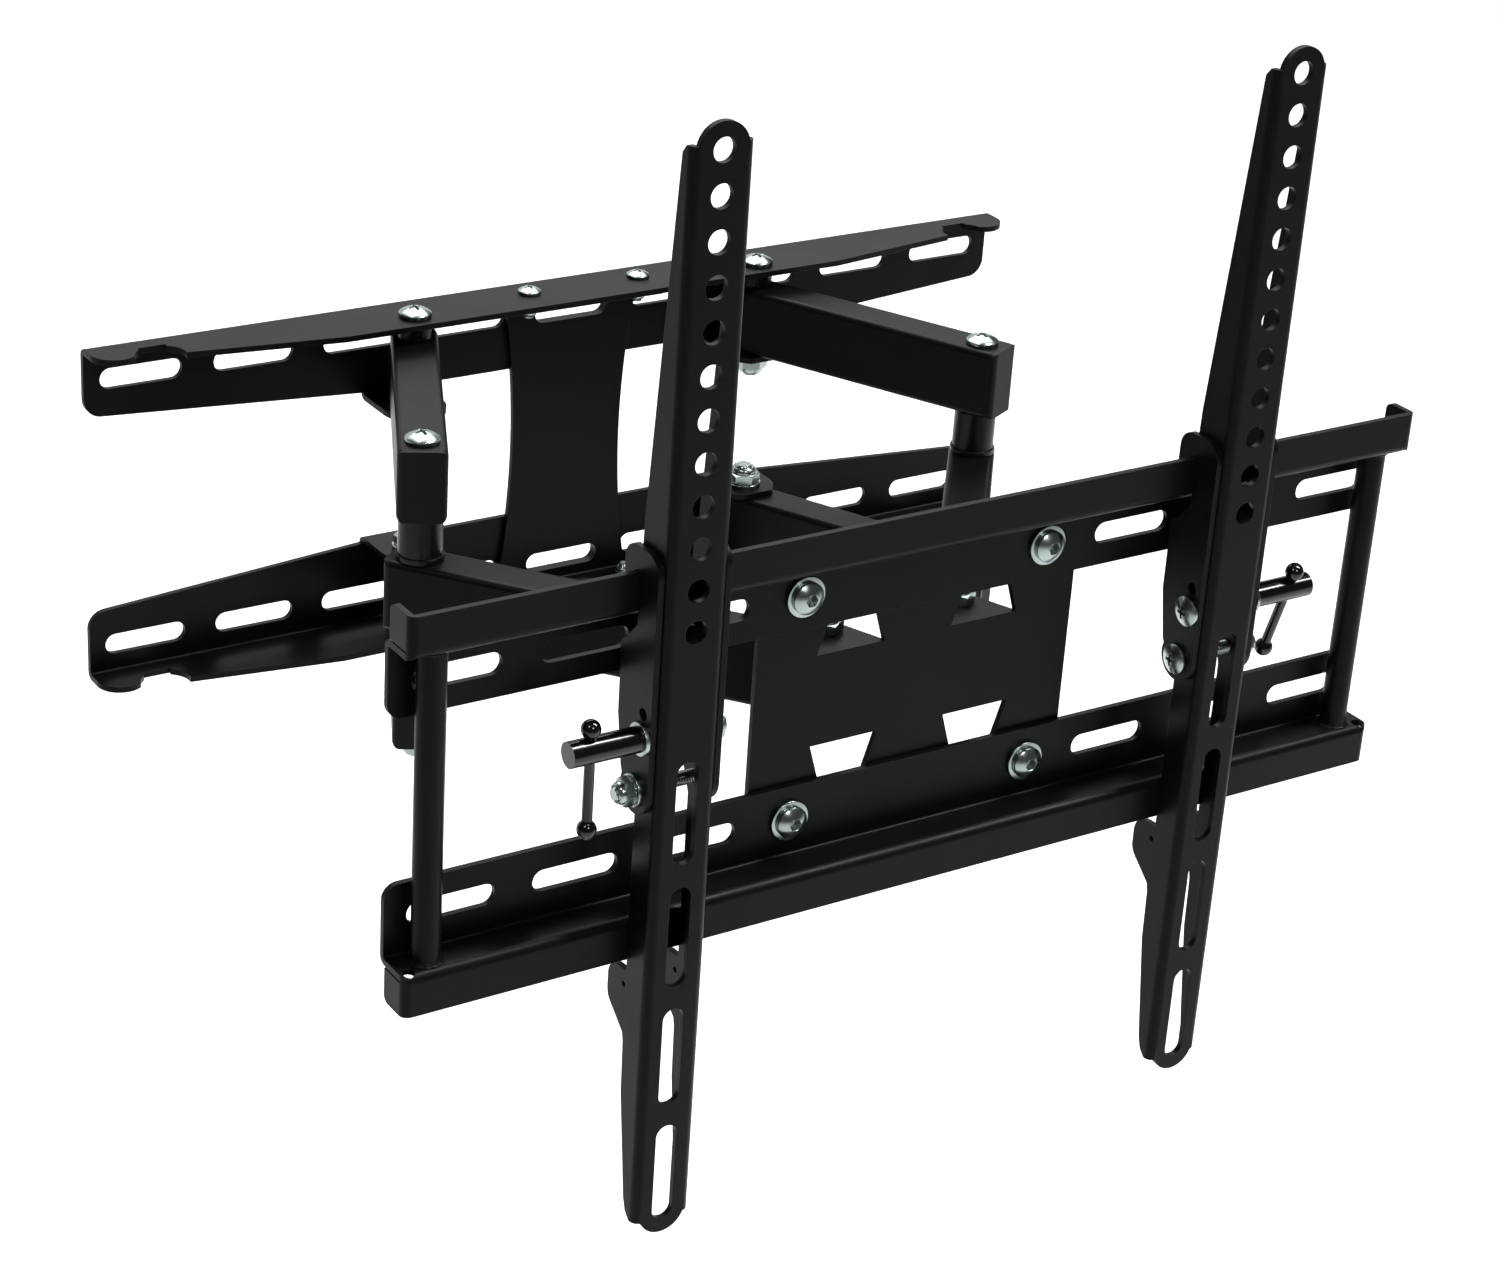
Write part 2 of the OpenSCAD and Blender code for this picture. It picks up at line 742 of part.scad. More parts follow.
// Hook plate from the side, y from the strip front face: a hook over the strip, a long front
// part, and a round lower end about the tilt bolt
module hook_2d() {
    front = -12.6;
    back = 9.9;
    top = tv_h / 2 + 9.5;
    low_r = tilt_at[0] - front;
    nose_r = 8;
    tail_r = 7;
    throat = shelf_z - 3;
    difference() {
        union() {
            translate([front, 20]) square([back - front, top - nose_r - 20]);
            translate([front + nose_r, top - nose_r - e])
                square([back - tail_r - front - nose_r, nose_r + e]);
            translate([front + nose_r, top - nose_r]) circle(r = nose_r);
            translate([back - tail_r, top - tail_r]) circle(r = tail_r);
            polygon([[front, 20.1], [back, 20.1], [back - 3.5, 0], [-tilt_at[0] / 3, -12],
                     [front, tilt_at[1]]]);
            translate(tilt_at) circle(r = low_r);
        }
        polygon([[-play, tv_h / 2 + play], [sheet + play, tv_h / 2 + play],
                 [sheet + play, shelf_z + sheet + 1.6], [sheet + 1.6, shelf_z + sheet + play],
                 [back + e, shelf_z + sheet + play],
                 [back + e, throat - 11], [back - 3.5, throat - 7.5], [-play, throat]]);
        translate([-7.2, 26.5]) circle(d = 5);
        translate(tilt_at) circle(d = cross_d + 0.1);
        lock_slot_2d();
    }
}

// Curved slot about the tilt bolt in which the lock bolt travels
module lock_slot_2d() {
    w = cross_d + 0.4;
    steps = 4;
    translate(tilt_at) {
        intersection() {
            difference() {
                circle(r = lock_reach + w / 2);
                circle(r = lock_reach - w / 2);
            }
            polygon([[0, 0], for (k = [0:steps])
                2 * lock_reach * [sin(lock_rest + k * lock_turn / steps),
                                  cos(lock_rest + k * lock_turn / steps)]]);
        }
        for (a = [lock_rest, lock_rest + lock_turn])
            translate(lock_reach * [sin(a), cos(a)]) circle(d = w);
    }
}

// Both hook plates of one upright
module hook_plates() {
    color("#222325") for (s = [-1, 1])
        translate([s * (hook_x + sheet / 2), strip_y, 0]) across_x(sheet) hook_2d();
}

// Points of an arc from angle a to angle b about c
function arc(c, r, a, b) = [for (k = [0:6]) c + r * [cos(a + k * (b - a) / 6),
                                                     sin(a + k * (b - a) / 6)]];

// Flange of an upright from the side, u behind the front face: a clear step at the strip, a
// deep part between the hook plates, and a catch lobe that hooks in under the lip
module flange_side() {
    at_lip = face_gap - play;
    step_u = 3.5;
    catch_z = -tv_h / 2 - 12;
    catch_r = 7;
    catch_u = 20.4;
    polygon(concat(
        [[0, flange_top], [4, flange_top], [6.5, flange_top - 3], [17.8, 98],
         [18.2, tv_h / 2 + 7], [step_u, tv_h / 2 + 6], [step_u, shelf_z - 5.5],
         [22.5, shelf_z - 11.5], [22.5, 22], [20.5, 0], [at_lip, -14],
         [at_lip, catch_z + catch_r + 0.4]],
        arc([catch_u, catch_z], catch_r, 90, 0),
        arc([catch_u, catch_z - 6], catch_r, 0, -50),
        [[15.5, catch_z - 19.5], [at_lip, catch_z - 23], [14.2, -136],
         [8.5, flange_low + 8], [7, flange_low + 3], [4, flange_low], [0, flange_low]]
    ));
}

// Channel section of an upright in plan, front face at Y = 0
module channel_plan() {
    depth = 32;
    for (s = [0, 1]) mirror([s, 0]) {
        translate([upright_w / 2 - sheet, bend_r]) square([sheet, depth - bend_r]);
        translate([upright_w / 2 - bend_r, bend_r]) mirror([0, 1]) bend_2d();
        translate([-e, 0]) square([upright_w / 2 - bend_r + e, sheet]);
    }
}

module upright() {
    color("#1f2022") translate([0, face_y, 0]) difference() {
        union() {
            intersection() {
                translate([0, 0, flange_low]) linear_extrude(flange_top - flange_low)
                    channel_plan();
                across_x(2 * upright_w) flange_side();
            }
            for (z = [top_hole_z, low_lobe_z]) translate([0, sheet, z])
                across_y(sheet) circle(r = lobe_r);
        }
        for (k = [0:round_holes - 1]) translate([0, 2 * sheet, top_hole_z - k * hole_pitch])
            across_y(4 * sheet) circle(d = hole_d);
        for (k = [0:long_slots - 1])
            translate([0, 2 * sheet, long_slot_z - k * long_slot_gap]) across_y(4 * sheet)
                rotate(90) slot_2d(long_slot_len, hole_d);
        for (place = [tilt_at, lock_at]) translate([0, place[0] + face_gap, place[1]])
            across_x(2 * upright_w) circle(d = cross_d + 0.1);
        translate([0, face_gap + 1, -tv_h / 2 - 11]) across_x(2 * upright_w) circle(d = 2.5);
    }
}

// Places a piece on the tilt or lock bolt of the right upright, its Z axis pointing outwards
module at_bolt(place) {
    translate([0, strip_y + place[0], place[1]]) rotate([0, 90, 0]) children();
}

// Bolt across both hook plates with its head inside; reach is how far it stands out beyond them
module cross_bolt(place, reach) {
    color("#c9ccd0") at_bolt(place) translate([0, 0, -hook_out]) mirror([0, 0, 1])
        bolt(2 * hook_out + reach, cross_d, cross_head_d, cross_head_h);
}

module tilt_bolt() { cross_bolt(tilt_at, small_washer_t + small_nut_h + 1); }

module tilt_nut() {
    color("#b9bdc2") at_bolt(tilt_at) {
        translate([0, 0, hook_out]) washer(small_washer_d, cross_d + 0.1, small_washer_t);
        translate([0, 0, hook_out + small_washer_t]) mirror([0, 0, 1])
            lock_nut(small_nut_af, small_nut_h, cross_d);
    }
}

// The lock bolt goes with the upright; its washer is pressed on
module lock_bolt() {
    cross_bolt(lock_at, small_washer_t + thread_l);
    color("#c2c6ca") at_bolt(lock_at) translate([0, 0, hook_out])
        cylinder(d = small_washer_d, h = small_washer_t);
}

// Barrel of the T-handle, a long nut on the lock bolt with a cross hole for the bar
module lock_handle() {
    color("#0c0d0e") at_bolt(lock_at) translate([0, 0, hook_out + small_washer_t])
        difference() {
            cylinder(d = barrel_d, h = barrel_l);
            translate([0, 0, -e]) cylinder(d = cross_d + 0.1, h = thread_l + 2 * e);
            translate([-barrel_d, 0, bar_at]) rotate([0, 90, 0])
                cylinder(d = bar_d + 0.1, h = 2 * barrel_d);
        }
}

// Bar hanging on its upper ball
module tommy_bar() {
    color("#0c0d0e") translate([hook_out + small_washer_t + bar_at, strip_y + lock_at[0],
                                lock_at[1] + ball_rest]) {
        sphere(d = ball_d);
        translate([0, 0, -bar_span]) cylinder(d = bar_d, h = bar_span);
        translate([0, 0, -bar_span]) sphere(d = ball_d);
    }
}

// Turns a handle piece about its lock bolt
module turned(a) {
    translate([0, strip_y + lock_at[0], lock_at[1]]) rotate([a, 0, 0])
        translate([0, -strip_y - lock_at[0], -lock_at[1]]) children();
}

module on_right() { translate([right_upright_x, 0, 0]) children(); }

module on_left() { translate([left_upright_x, 0, 0]) left() children(); }

module hook_plates_right() { on_right() hook_plates(); }

module tilt_bolt_right() { on_right() tilt_bolt(); }

module tilt_nut_right() { on_right() tilt_nut(); }

module upright_right() { on_right() upright(); }

module lock_bolt_right() { on_right() lock_bolt(); }

module lock_handle_right() { on_right() turned(right_handle_turn) lock_handle(); }

module tommy_bar_right() { on_right() turned(right_handle_turn) tommy_bar(); }

module hook_plates_left() { on_left() hook_plates(); }

module tilt_bolt_left() { on_left() tilt_bolt(); }

module tilt_nut_left() { on_left() tilt_nut(); }

module upright_left() { on_left() upright(); }

module lock_bolt_left() { on_left() lock_bolt(); }

module lock_handle_left() { on_left() lock_handle(); }

module tommy_bar_left() { on_left() tommy_bar(); }

// ---------------------------------------------------------------- one line for each node

wall_top_rail();
wall_bottom_rail();
wall_center_plate();
wall_plate_screws();
wall_plate_nuts();
wall_pivot_bolts_left();
wall_pivot_bolts_right();
wall_pivot_nuts();
wall_pivot_washers();
wall_pivot_spacers();
rear_arm_upper_left();
rear_arm_lower_left();
rear_arm_caps_left();
rear_arm_sleeves_left();
elbow_bolt_left();
elbow_nut_left();
elbow_bushes_left();
rear_arm_upper_right();
rear_arm_lower_right();
rear_arm_caps_right();
rear_arm_sleeves_right();
elbow_bolt_right();
elbow_nut_right();
elbow_bushes_right();
forearm_left();
forearm_caps_left();
forearm_sleeves_left();
forearm_right();
forearm_caps_right();
forearm_sleeve_right();
tv_top_rail();
tv_bottom_rail();
tv_center_plate();
tv_post_left();
tv_post_right();
tv_plate_screws();
tv_plate_washers();
tv_plate_nuts();
tv_pivot_bolts();
tv_pivot_nuts();
tv_pivot_washers();
hook_plates_left();
tilt_bolt_left();
tilt_nut_left();
upright_left();
lock_bolt_left();
lock_handle_left();
tommy_bar_left();
hook_plates_right();
tilt_bolt_right();
tilt_nut_right();
upright_right();
lock_bolt_right();
lock_handle_right();
tommy_bar_right();
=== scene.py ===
"""Looks of a full motion wall mount for a flat screen, dressed on its CAD frame.

Sheet steel, posts, tubes, caps, bushes, hooks and barrels keep their CAD shape and get their
finish. Screws, bolts, nuts, washers, sliding bars and weld beads are made here, with their
recesses, threads, chamfers and balls. Everything is in metres, in the frame of the CAD model: +Y
goes into the wall, +Z is up.
"""

import json
import logging
import math
from dataclasses import dataclass, field
from enum import Enum

import bmesh
import bpy
import numpy as np
from mathutils import Euler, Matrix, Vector


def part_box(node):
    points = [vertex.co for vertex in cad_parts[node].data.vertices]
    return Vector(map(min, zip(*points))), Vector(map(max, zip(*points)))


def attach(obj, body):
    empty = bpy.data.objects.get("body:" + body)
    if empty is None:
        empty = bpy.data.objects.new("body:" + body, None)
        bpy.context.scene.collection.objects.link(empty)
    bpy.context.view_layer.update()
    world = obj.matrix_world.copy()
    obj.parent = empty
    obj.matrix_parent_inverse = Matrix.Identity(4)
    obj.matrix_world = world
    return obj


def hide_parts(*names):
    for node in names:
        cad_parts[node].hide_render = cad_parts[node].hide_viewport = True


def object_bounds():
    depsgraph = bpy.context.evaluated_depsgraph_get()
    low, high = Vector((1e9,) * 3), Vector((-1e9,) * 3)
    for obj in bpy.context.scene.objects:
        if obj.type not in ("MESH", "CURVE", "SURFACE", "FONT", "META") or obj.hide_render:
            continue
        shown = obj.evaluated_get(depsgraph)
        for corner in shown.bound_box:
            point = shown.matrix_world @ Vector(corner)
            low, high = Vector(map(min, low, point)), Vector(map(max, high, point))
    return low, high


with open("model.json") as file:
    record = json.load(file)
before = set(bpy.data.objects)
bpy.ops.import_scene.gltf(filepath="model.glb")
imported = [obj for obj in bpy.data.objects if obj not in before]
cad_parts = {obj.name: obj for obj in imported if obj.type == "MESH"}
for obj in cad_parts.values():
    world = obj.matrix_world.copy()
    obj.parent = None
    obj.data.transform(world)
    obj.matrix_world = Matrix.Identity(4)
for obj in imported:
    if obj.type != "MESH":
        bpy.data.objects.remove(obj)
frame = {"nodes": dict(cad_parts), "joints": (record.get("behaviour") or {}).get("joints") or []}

CAD_BOX = [list(corner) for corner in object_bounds()]
MM = 0.001
THREAD_PLAY = 0.16  # how far a rolled thread lies under its nominal diameter, in millimetres
RING_STEPS = 72
SMOOTH_ANGLE = math.radians(32)
LOG = logging.getLogger("wall_mount")


# ------------------------------------------------------------------------------------- places


class Side(Enum):
    """The two halves of the mount, each with the sign of its X."""

    LEFT = -1
    RIGHT = 1

    @property
    def word(self) -> str:
        """The side's name as the CAD nodes use it."""
        return self.name.lower()


@dataclass(frozen=True)
class Spindle:
    """A line that a fastener stands on.

    Attributes:
        origin: Where the fastener's zero height lies, in metres.
        direction: Which way its +Z points.
    """

    origin: tuple[float, float, float]
    direction: tuple[float, float, float] = (0.0, 0.0, 1.0)

    def place(self, points: np.ndarray) -> np.ndarray:
        """Turns +Z onto the direction and moves zero to the origin.

        Args:
            points: Points (n, 3) in metres about the fastener's own axis.

        Returns:
            The same points in the frame of the CAD model.
        """
        axis = np.array(self.direction, float)
        axis /= np.linalg.norm(axis)
        helper = np.array([0.0, 0.0, 1.0]) if abs(axis[2]) < 0.9 else np.array([1.0, 0.0, 0.0])
        across = np.cross(helper, axis)
        across /= np.linalg.norm(across)
        turn = np.stack([across, np.cross(axis, across), axis])
        return points @ turn + np.array(self.origin)


def joint_row(name: str) -> dict:
    """Finds a joint of the CAD model.

    Args:
        name: The joint's name.

    Returns:
        Its row in the frame.
    """
    return next(joint for joint in frame["joints"] if joint["name"] == name)


def joint_place(name: str) -> tuple[float, float, float]:
    """Finds the pivot point of a hinge of the CAD model.

    Args:
        name: The joint's name.

    Returns:
        The point in metres.
    """
    return tuple(joint_row(name)["pos_m"])


def joint_axis(name: str) -> tuple[float, float, float]:
    """Finds the axis of a joint of the CAD model.

    Args:
        name: The joint's name.

    Returns:
        The axis as three numbers.
    """
    return tuple(joint_row(name)["axis"])


# ------------------------------------------------------------------------------------- meshes


def ring_angles() -> np.ndarray:
    """Angles of the points of a ring, in radians, with a corner of a hexagon on every sixth."""
    return np.arange(RING_STEPS) * 2 * math.pi / RING_STEPS


def stack_rings(radii: list, heights: list, closed: bool = False) -> tuple[np.ndarray, np.ndarray]:
    """Joins rings about +Z into one surface: point (i, j) is at angle j, radius and height i.

    Args:
        radii: For each ring one radius, or one for each angle, in metres.
        heights: For each ring one height, or one for each angle, in metres.
        closed: Whether the last ring joins the first, as on a washer.

    Returns:
        Points (n, 3) and faces (m, 4), which point outwards if the rings run from the bottom
        outwards, up, and back in.
    """
    angles = ring_angles()
    radius = np.stack([np.broadcast_to(np.asarray(r, float), angles.shape) for r in radii])
    height = np.stack([np.broadcast_to(np.asarray(h, float), angles.shape) for h in heights])
    points = np.stack([radius * np.cos(angles), radius * np.sin(angles), height], axis=-1)
    rings = len(radii)
    lower = np.arange(rings if closed else rings - 1)[:, None]
    upper = (lower + 1) % rings
    here = np.arange(RING_STEPS)[None, :]
    after = (here + 1) % RING_STEPS
    step = RING_STEPS
    faces = np.stack([lower * step + here, lower * step + after,
                      upper * step + after, upper * step + here], axis=-1)
    return points.reshape(-1, 3), faces.reshape(-1, 4)


def join_meshes(parts: list[tuple[np.ndarray, np.ndarray]]) -> tuple[np.ndarray, np.ndarray]:
    """Puts several surfaces into one pair of point and face arrays.

    Args:
        parts: Points and faces of each surface.

    Returns:
        Points and faces of all of them.
    """
    starts = np.cumsum([0] + [len(points) for points, _ in parts[:-1]])
    points = np.concatenate([points for points, _ in parts])
    faces = np.concatenate([faces + start for (_, faces), start in zip(parts, starts)])
    return points, faces


def make_piece(name: str, surface: tuple[np.ndarray, np.ndarray],
               finish: bpy.types.Material) -> bpy.types.Object:
    """Makes a mesh object of a surface, its place in its mesh, with poles merged.

    Args:
        name: The piece's name.
        surface: Points and faces.
        finish: Its material.

    Returns:
        The new object, linked to the scene.
    """
    points, faces = surface
    mesh = bpy.data.meshes.new(name)
    mesh.from_pydata(points.tolist(), [], faces.tolist())
    work = bmesh.new()
    work.from_mesh(mesh)
    bmesh.ops.remove_doubles(work, verts=work.verts, dist=1e-6)
    work.to_mesh(mesh)
    work.free()
    mesh.shade_smooth()
    mesh.set_sharp_from_angle(angle=SMOOTH_ANGLE)
    mesh.materials.append(finish)
    piece = bpy.data.objects.new(name, mesh)
    bpy.context.scene.collection.objects.link(piece)
    return piece


def hexagon_radius(across_flats: float) -> np.ndarray:
    """Distance to the side of a hexagon at each ring angle: half its width over the cosine of
    the angle from the middle of the nearest side.

    Args:
        across_flats: Width over two opposite sides.

    Returns:
        One radius for each angle.
    """
    sixth = math.pi / 3
    from_middle = np.mod(ring_angles(), sixth) - sixth / 2
    return across_flats / 2 / np.cos(from_middle)


def cross_radius(reach: float, half_width: float) -> np.ndarray:
    """Distance to the side of a cross at each ring angle: the end of an arm near its middle
    line, its side further away.

    Args:
        reach: From the middle to the end of an arm.
        half_width: Half the width of an arm.

    Returns:
        One radius for each angle.
    """
    quarter = math.pi / 2
    from_arm = np.abs(np.mod(ring_angles() + quarter / 2, quarter) - quarter / 2)
    end = reach / np.cos(from_arm)
    side = half_width / np.maximum(np.sin(from_arm), 1e-6)
    return np.minimum(end, side)


# ----------------------------------------------------------------------------------- fasteners


THREAD_RINGS = 6  # rings of points in one turn of a thread
THREAD_DEPTH = 0.5  # depth of a thread, as a share of its pitch
TIP_OUT = 1.0  # how far a bolt's tip stands out of its nut, in millimetres
CROSS_ARM = 0.05  # half the width of an arm of a cross recess, as a share of the head's diameter
HEAD_FOOT = ((0.95, 0.0), (0.985, 0.03), (1.0, 0.09))  # rounded foot of a head: radius, height
HEAD_SHOULDER = 0.42  # height at which a head's dome starts, as a share of the head's height
SIDE_TOP = 0.85  # height at which a head's side starts to turn in, as a share of its shoulder
SHOULDER_IN = 0.992  # radius of the shoulder, as a share of the head's radius
RECESS_MOUTH = 1.06  # width of a recess at its mouth, as a share of its outline


class Drive(Enum):
    """The recess in the head of a screw: its reach as a share of the head's diameter, its depth
    as a share of the head's height, and how much of its outline is left at its floor."""

    CROSS = (0.21, 0.5, 0.86)
    SOCKET = (0.34, 0.55, 1.0)

    def __init__(self, reach: float, depth: float, floor: float) -> None:
        """Keeps the three shares under their names."""
        self.reach = reach
        self.depth = depth
        self.floor = floor


@dataclass(frozen=True)
class Screw:
    """A screw with a domed head, in millimetres. The underside of the head is its zero.

    Attributes:
        shank: Diameter of the shank.
        length: From the underside of the head to the tip.
        head: Diameter of the head.
        height: Height of the head.
        threaded: Length of the thread, from the tip.
        pitch: Height of one turn of the thread.
        drive: The recess in its head.
    """

    shank: float
    length: float
    head: float
    height: float
    threaded: float
    pitch: float = 1.25
    drive: Drive = Drive.CROSS

    def recess(self) -> tuple[np.ndarray, float]:
        """Gives the outline of the recess and its depth, both in metres."""
        reach = self.head * self.drive.reach * MM
        depth = self.height * self.drive.depth * MM
        if self.drive is Drive.SOCKET:
            return hexagon_radius(reach), depth
        return cross_radius(reach, self.head * CROSS_ARM * MM), depth

    def thread(self) -> tuple[list, list]:
        """Rings of the thread from the tip up: the radius falls and rises once in each pitch,
        and the angle carries it round, so that the crests climb as a helix."""
        crest = (self.shank - THREAD_PLAY) / 2
        groove = self.pitch * THREAD_DEPTH
        count = int(self.threaded / self.pitch * THREAD_RINGS)
        rise = np.linspace(0.0, self.threaded, count + 1)
        turns = rise[:, None] / self.pitch - ring_angles()[None, :] / (2 * math.pi)
        wave = np.abs(2 * np.mod(turns, 1.0) - 1.0)
        ends = np.clip(np.minimum(rise, self.threaded - rise) / self.pitch, 0.0, 1.0)[:, None]
        radius = (crest - groove * (1 - wave) * ends) * MM
        taper = np.clip(1 - rise / self.pitch, 0.0, 1.0)[:, None] * groove * MM
        heights = (rise - self.length) * MM
        return list(radius - taper), list(heights)

    def surface(self) -> tuple[np.ndarray, np.ndarray]:
        """Works out the whole screw as one stack of rings.

        The rings climb the thread and the shank, go out under the head, up its side, in over
        the dome and down into the recess. The dome falls with the square of the radius.

        Returns:
            Points and faces about +Z.
        """
        radii, heights = self.thread()
        radii.insert(0, 0.0)
        heights.insert(0, -self.length * MM)
        rim = self.head / 2 * MM
        top = self.height * MM
        shoulder = HEAD_SHOULDER * top
        radii.append((self.shank - THREAD_PLAY) / 2 * MM)
        heights.append(0.0)
        for out, up in HEAD_FOOT:
            radii.append(rim * out)
            heights.append(up * top)
        radii += [rim, rim * SHOULDER_IN]
        heights += [shoulder * SIDE_TOP, shoulder]
        outline, depth = self.recess()
        for share in np.linspace(0.06, 1.0, 9):
            ring = rim * (1 - share) + outline * RECESS_MOUTH * share
            radii.append(ring)
            heights.append(top - (top - shoulder) * (ring / rim) ** 2)
        lip = heights[-1]
        floor = self.drive.floor
        # Under the lip, half way down, at the floor, and at the floor's slightly deeper middle.
        for scale, drop in ((1.0, 0.06), (0.5 + floor / 2, 0.5), (floor, 1.0), (0.0, 1.12)):
            radii.append(outline * scale)
            heights.append(lip - depth * drop)
        return stack_rings(radii, heights)


NUT_CORNER = 0.985  # diameter of the cone that cuts a nut's corners, as a share of its width
NUT_CUT = math.radians(30)  # slope of that cone
NUT_BODY = 0.62  # height of the hexagon, as a share of the nut's height
NUT_COLLAR = 0.43  # radius of the collar, as a share of the nut's width


@dataclass(frozen=True)
class LockNut:
    """A hexagon nut with a rounded collar that holds a nylon ring, in millimetres.

    Attributes:
        across_flats: Width over two sides.
        height: Height over the collar.
        bore: Diameter of its bore.
    """

    across_flats: float
    height: float
    bore: float

    def surface(self) -> tuple[np.ndarray, np.ndarray]:
        """Works out the nut as a closed loop of rings: out along its foot, up the six sides,
        whose corners are cut at 30 degrees by a cone, over the collar and down the bore.

        Returns:
            Points and faces about +Z, standing on zero.
        """
        sides = hexagon_radius(self.across_flats * MM)
        cone = self.across_flats / 2 * NUT_CORNER * MM
        cut = np.maximum(sides - cone, 0.0) * math.tan(NUT_CUT)
        body = NUT_BODY * self.height * MM
        bore = self.bore / 2 * MM
        collar = self.across_flats * NUT_COLLAR * MM
        top = self.height * MM
        bend = top - body
        radii = [bore, cone, sides, sides, cone, collar]
        heights = [0.0, 0.0, cut, body - cut, body, body]
        for angle in np.radians([0, 20, 40, 60, 78]):
            radii.append(collar - bend * 0.55 * (1 - math.cos(angle)))
            heights.append(body + 0.25 * bend + 0.75 * bend * math.sin(angle))
        lip = bore + 0.35 * MM
        radii += [lip + 0.25 * MM, lip, lip, bore]
        heights += [top, top - 0.15 * MM, top - 0.5 * MM, top - 0.5 * MM]
        return stack_rings(radii, heights, closed=True)

    def insert(self) -> tuple[np.ndarray, np.ndarray]:
        """Works out the nylon ring inside the collar.

        Returns:
            Points and faces about +Z.
        """
        inner = self.bore / 2 * MM - 0.02 * MM
        outer = inner + 0.33 * MM
        top = (self.height - 0.3) * MM
        foot = (self.height - 0.9) * MM
        return stack_rings([inner, outer, outer, inner], [foot, foot, top, top], closed=True)


PIVOT_SHANK = 8.0  # diameter of the bolts that the arms turn on, in millimetres
PIVOT_NUT = LockNut(13.0, 7.0, 8.1)


@dataclass(frozen=True)
class Washer:
    """A flat stamped washer, in millimetres: round over on one side, sharp on the other.

    Attributes:
        outside: Outer diameter.
        bore: Diameter of its hole.
        thickness: Height of the sheet it is stamped from.
    """

    outside: float
    bore: float
    thickness: float

    def surface(self) -> tuple[np.ndarray, np.ndarray]:
        """Works out the washer as a closed loop of rings with a rounded upper rim.

        Returns:
            Points and faces about +Z, standing on zero.
        """
        rim = self.outside / 2 * MM
        hole = self.bore / 2 * MM
        top = self.thickness * MM
        over = 0.3 * MM
        foot = 0.1 * MM
        chamfer = 0.2 * MM
        bends = np.radians([0, 30, 60, 90])
        radii = [hole, rim - foot, rim] + [rim - over * (1 - math.cos(a)) for a in bends]
        heights = [0.0, 0.0, foot] + [top - over * (1 - math.sin(a)) for a in bends]
        radii += [hole + chamfer, hole]
        heights += [top, top - chamfer]
        return stack_rings(radii, heights, closed=True)


@dataclass(frozen=True)
class SlidingBar:
    """The bar of a T-handle with a ball at each end, in millimetres.

    Attributes:
        bar: Diameter of the bar.
        ball: Diameter of the balls.
        span: Between the centres of the balls.
    """

    bar: float = 4.0
    ball: float = 7.5
    span: float = 40.0

    def surface(self) -> tuple[np.ndarray, np.ndarray]:
        """Works out bar and balls as one stack: each ball is a circle's arc, which runs into
        the bar through a small hollow. The upper ball's centre is the zero.

        Returns:
            Points and faces about +Z.
        """
        ball = self.ball / 2
        bar = self.bar / 2
        neck = math.asin(bar / ball)
        down = np.linspace(math.pi, neck * 1.25, 17)
        low = [(ball * math.sin(a), -self.span + ball * math.cos(a)) for a in down]
        drop = math.sqrt(ball ** 2 - bar ** 2)
        hollow = 0.8
        low += [(bar * 1.03, -self.span + drop + hollow / 2), (bar, -self.span + drop + hollow)]
        high = [(radius, -self.span - height) for radius, height in reversed(low)]
        profile = low + high
        return stack_rings([max(r, 0.0) * MM for r, _ in profile], [h * MM for _, h in profile])


# ------------------------------------------------------------------------------------ finishes


def linear(hex_colour: str) -> tuple[float, float, float, float]:
    """Turns an sRGB hex colour into the linear colour that shaders use.

    Args:
        hex_colour: Six hex digits after a hash.

    Returns:
        Red, green, blue and alpha 1.
    """
    parts = [int(hex_colour[i:i + 2], 16) / 255 for i in (1, 3, 5)]
    low = [p / 12.92 if p <= 0.04045 else ((p + 0.055) / 1.055) ** 2.4 for p in parts]
    return (*low, 1.0)


def add_node(tree: bpy.types.NodeTree, kind: str, values: dict | None = None,
             links: dict | None = None, **settings: object) -> bpy.types.Node:
    """Adds one shader node with its settings, constants and links.

    Args:
        tree: The material's node tree.
        kind: The node's type name.
        values: Constant for each input socket.
        links: For each input socket, the node and the output that feed it.
        settings: Properties of the node itself.

    Returns:
        The new node.
    """
    node = tree.nodes.new(kind)
    for name, setting in settings.items():
        setattr(node, name, setting)
    for socket, value in (values or {}).items():
        node.inputs[socket].default_value = value
    for socket, (source, output) in (links or {}).items():
        tree.links.new(source.outputs[output], node.inputs[socket])
    return node


def per_metre(size_mm: float) -> float:
    """Scale of a noise pattern whose features are this many millimetres apart."""
    return 1000.0 / size_mm


CLOUD_MM = 38.0  # size of the clouds in a coat, in millimetres
LACQUER_ROUGHNESS = 0.08


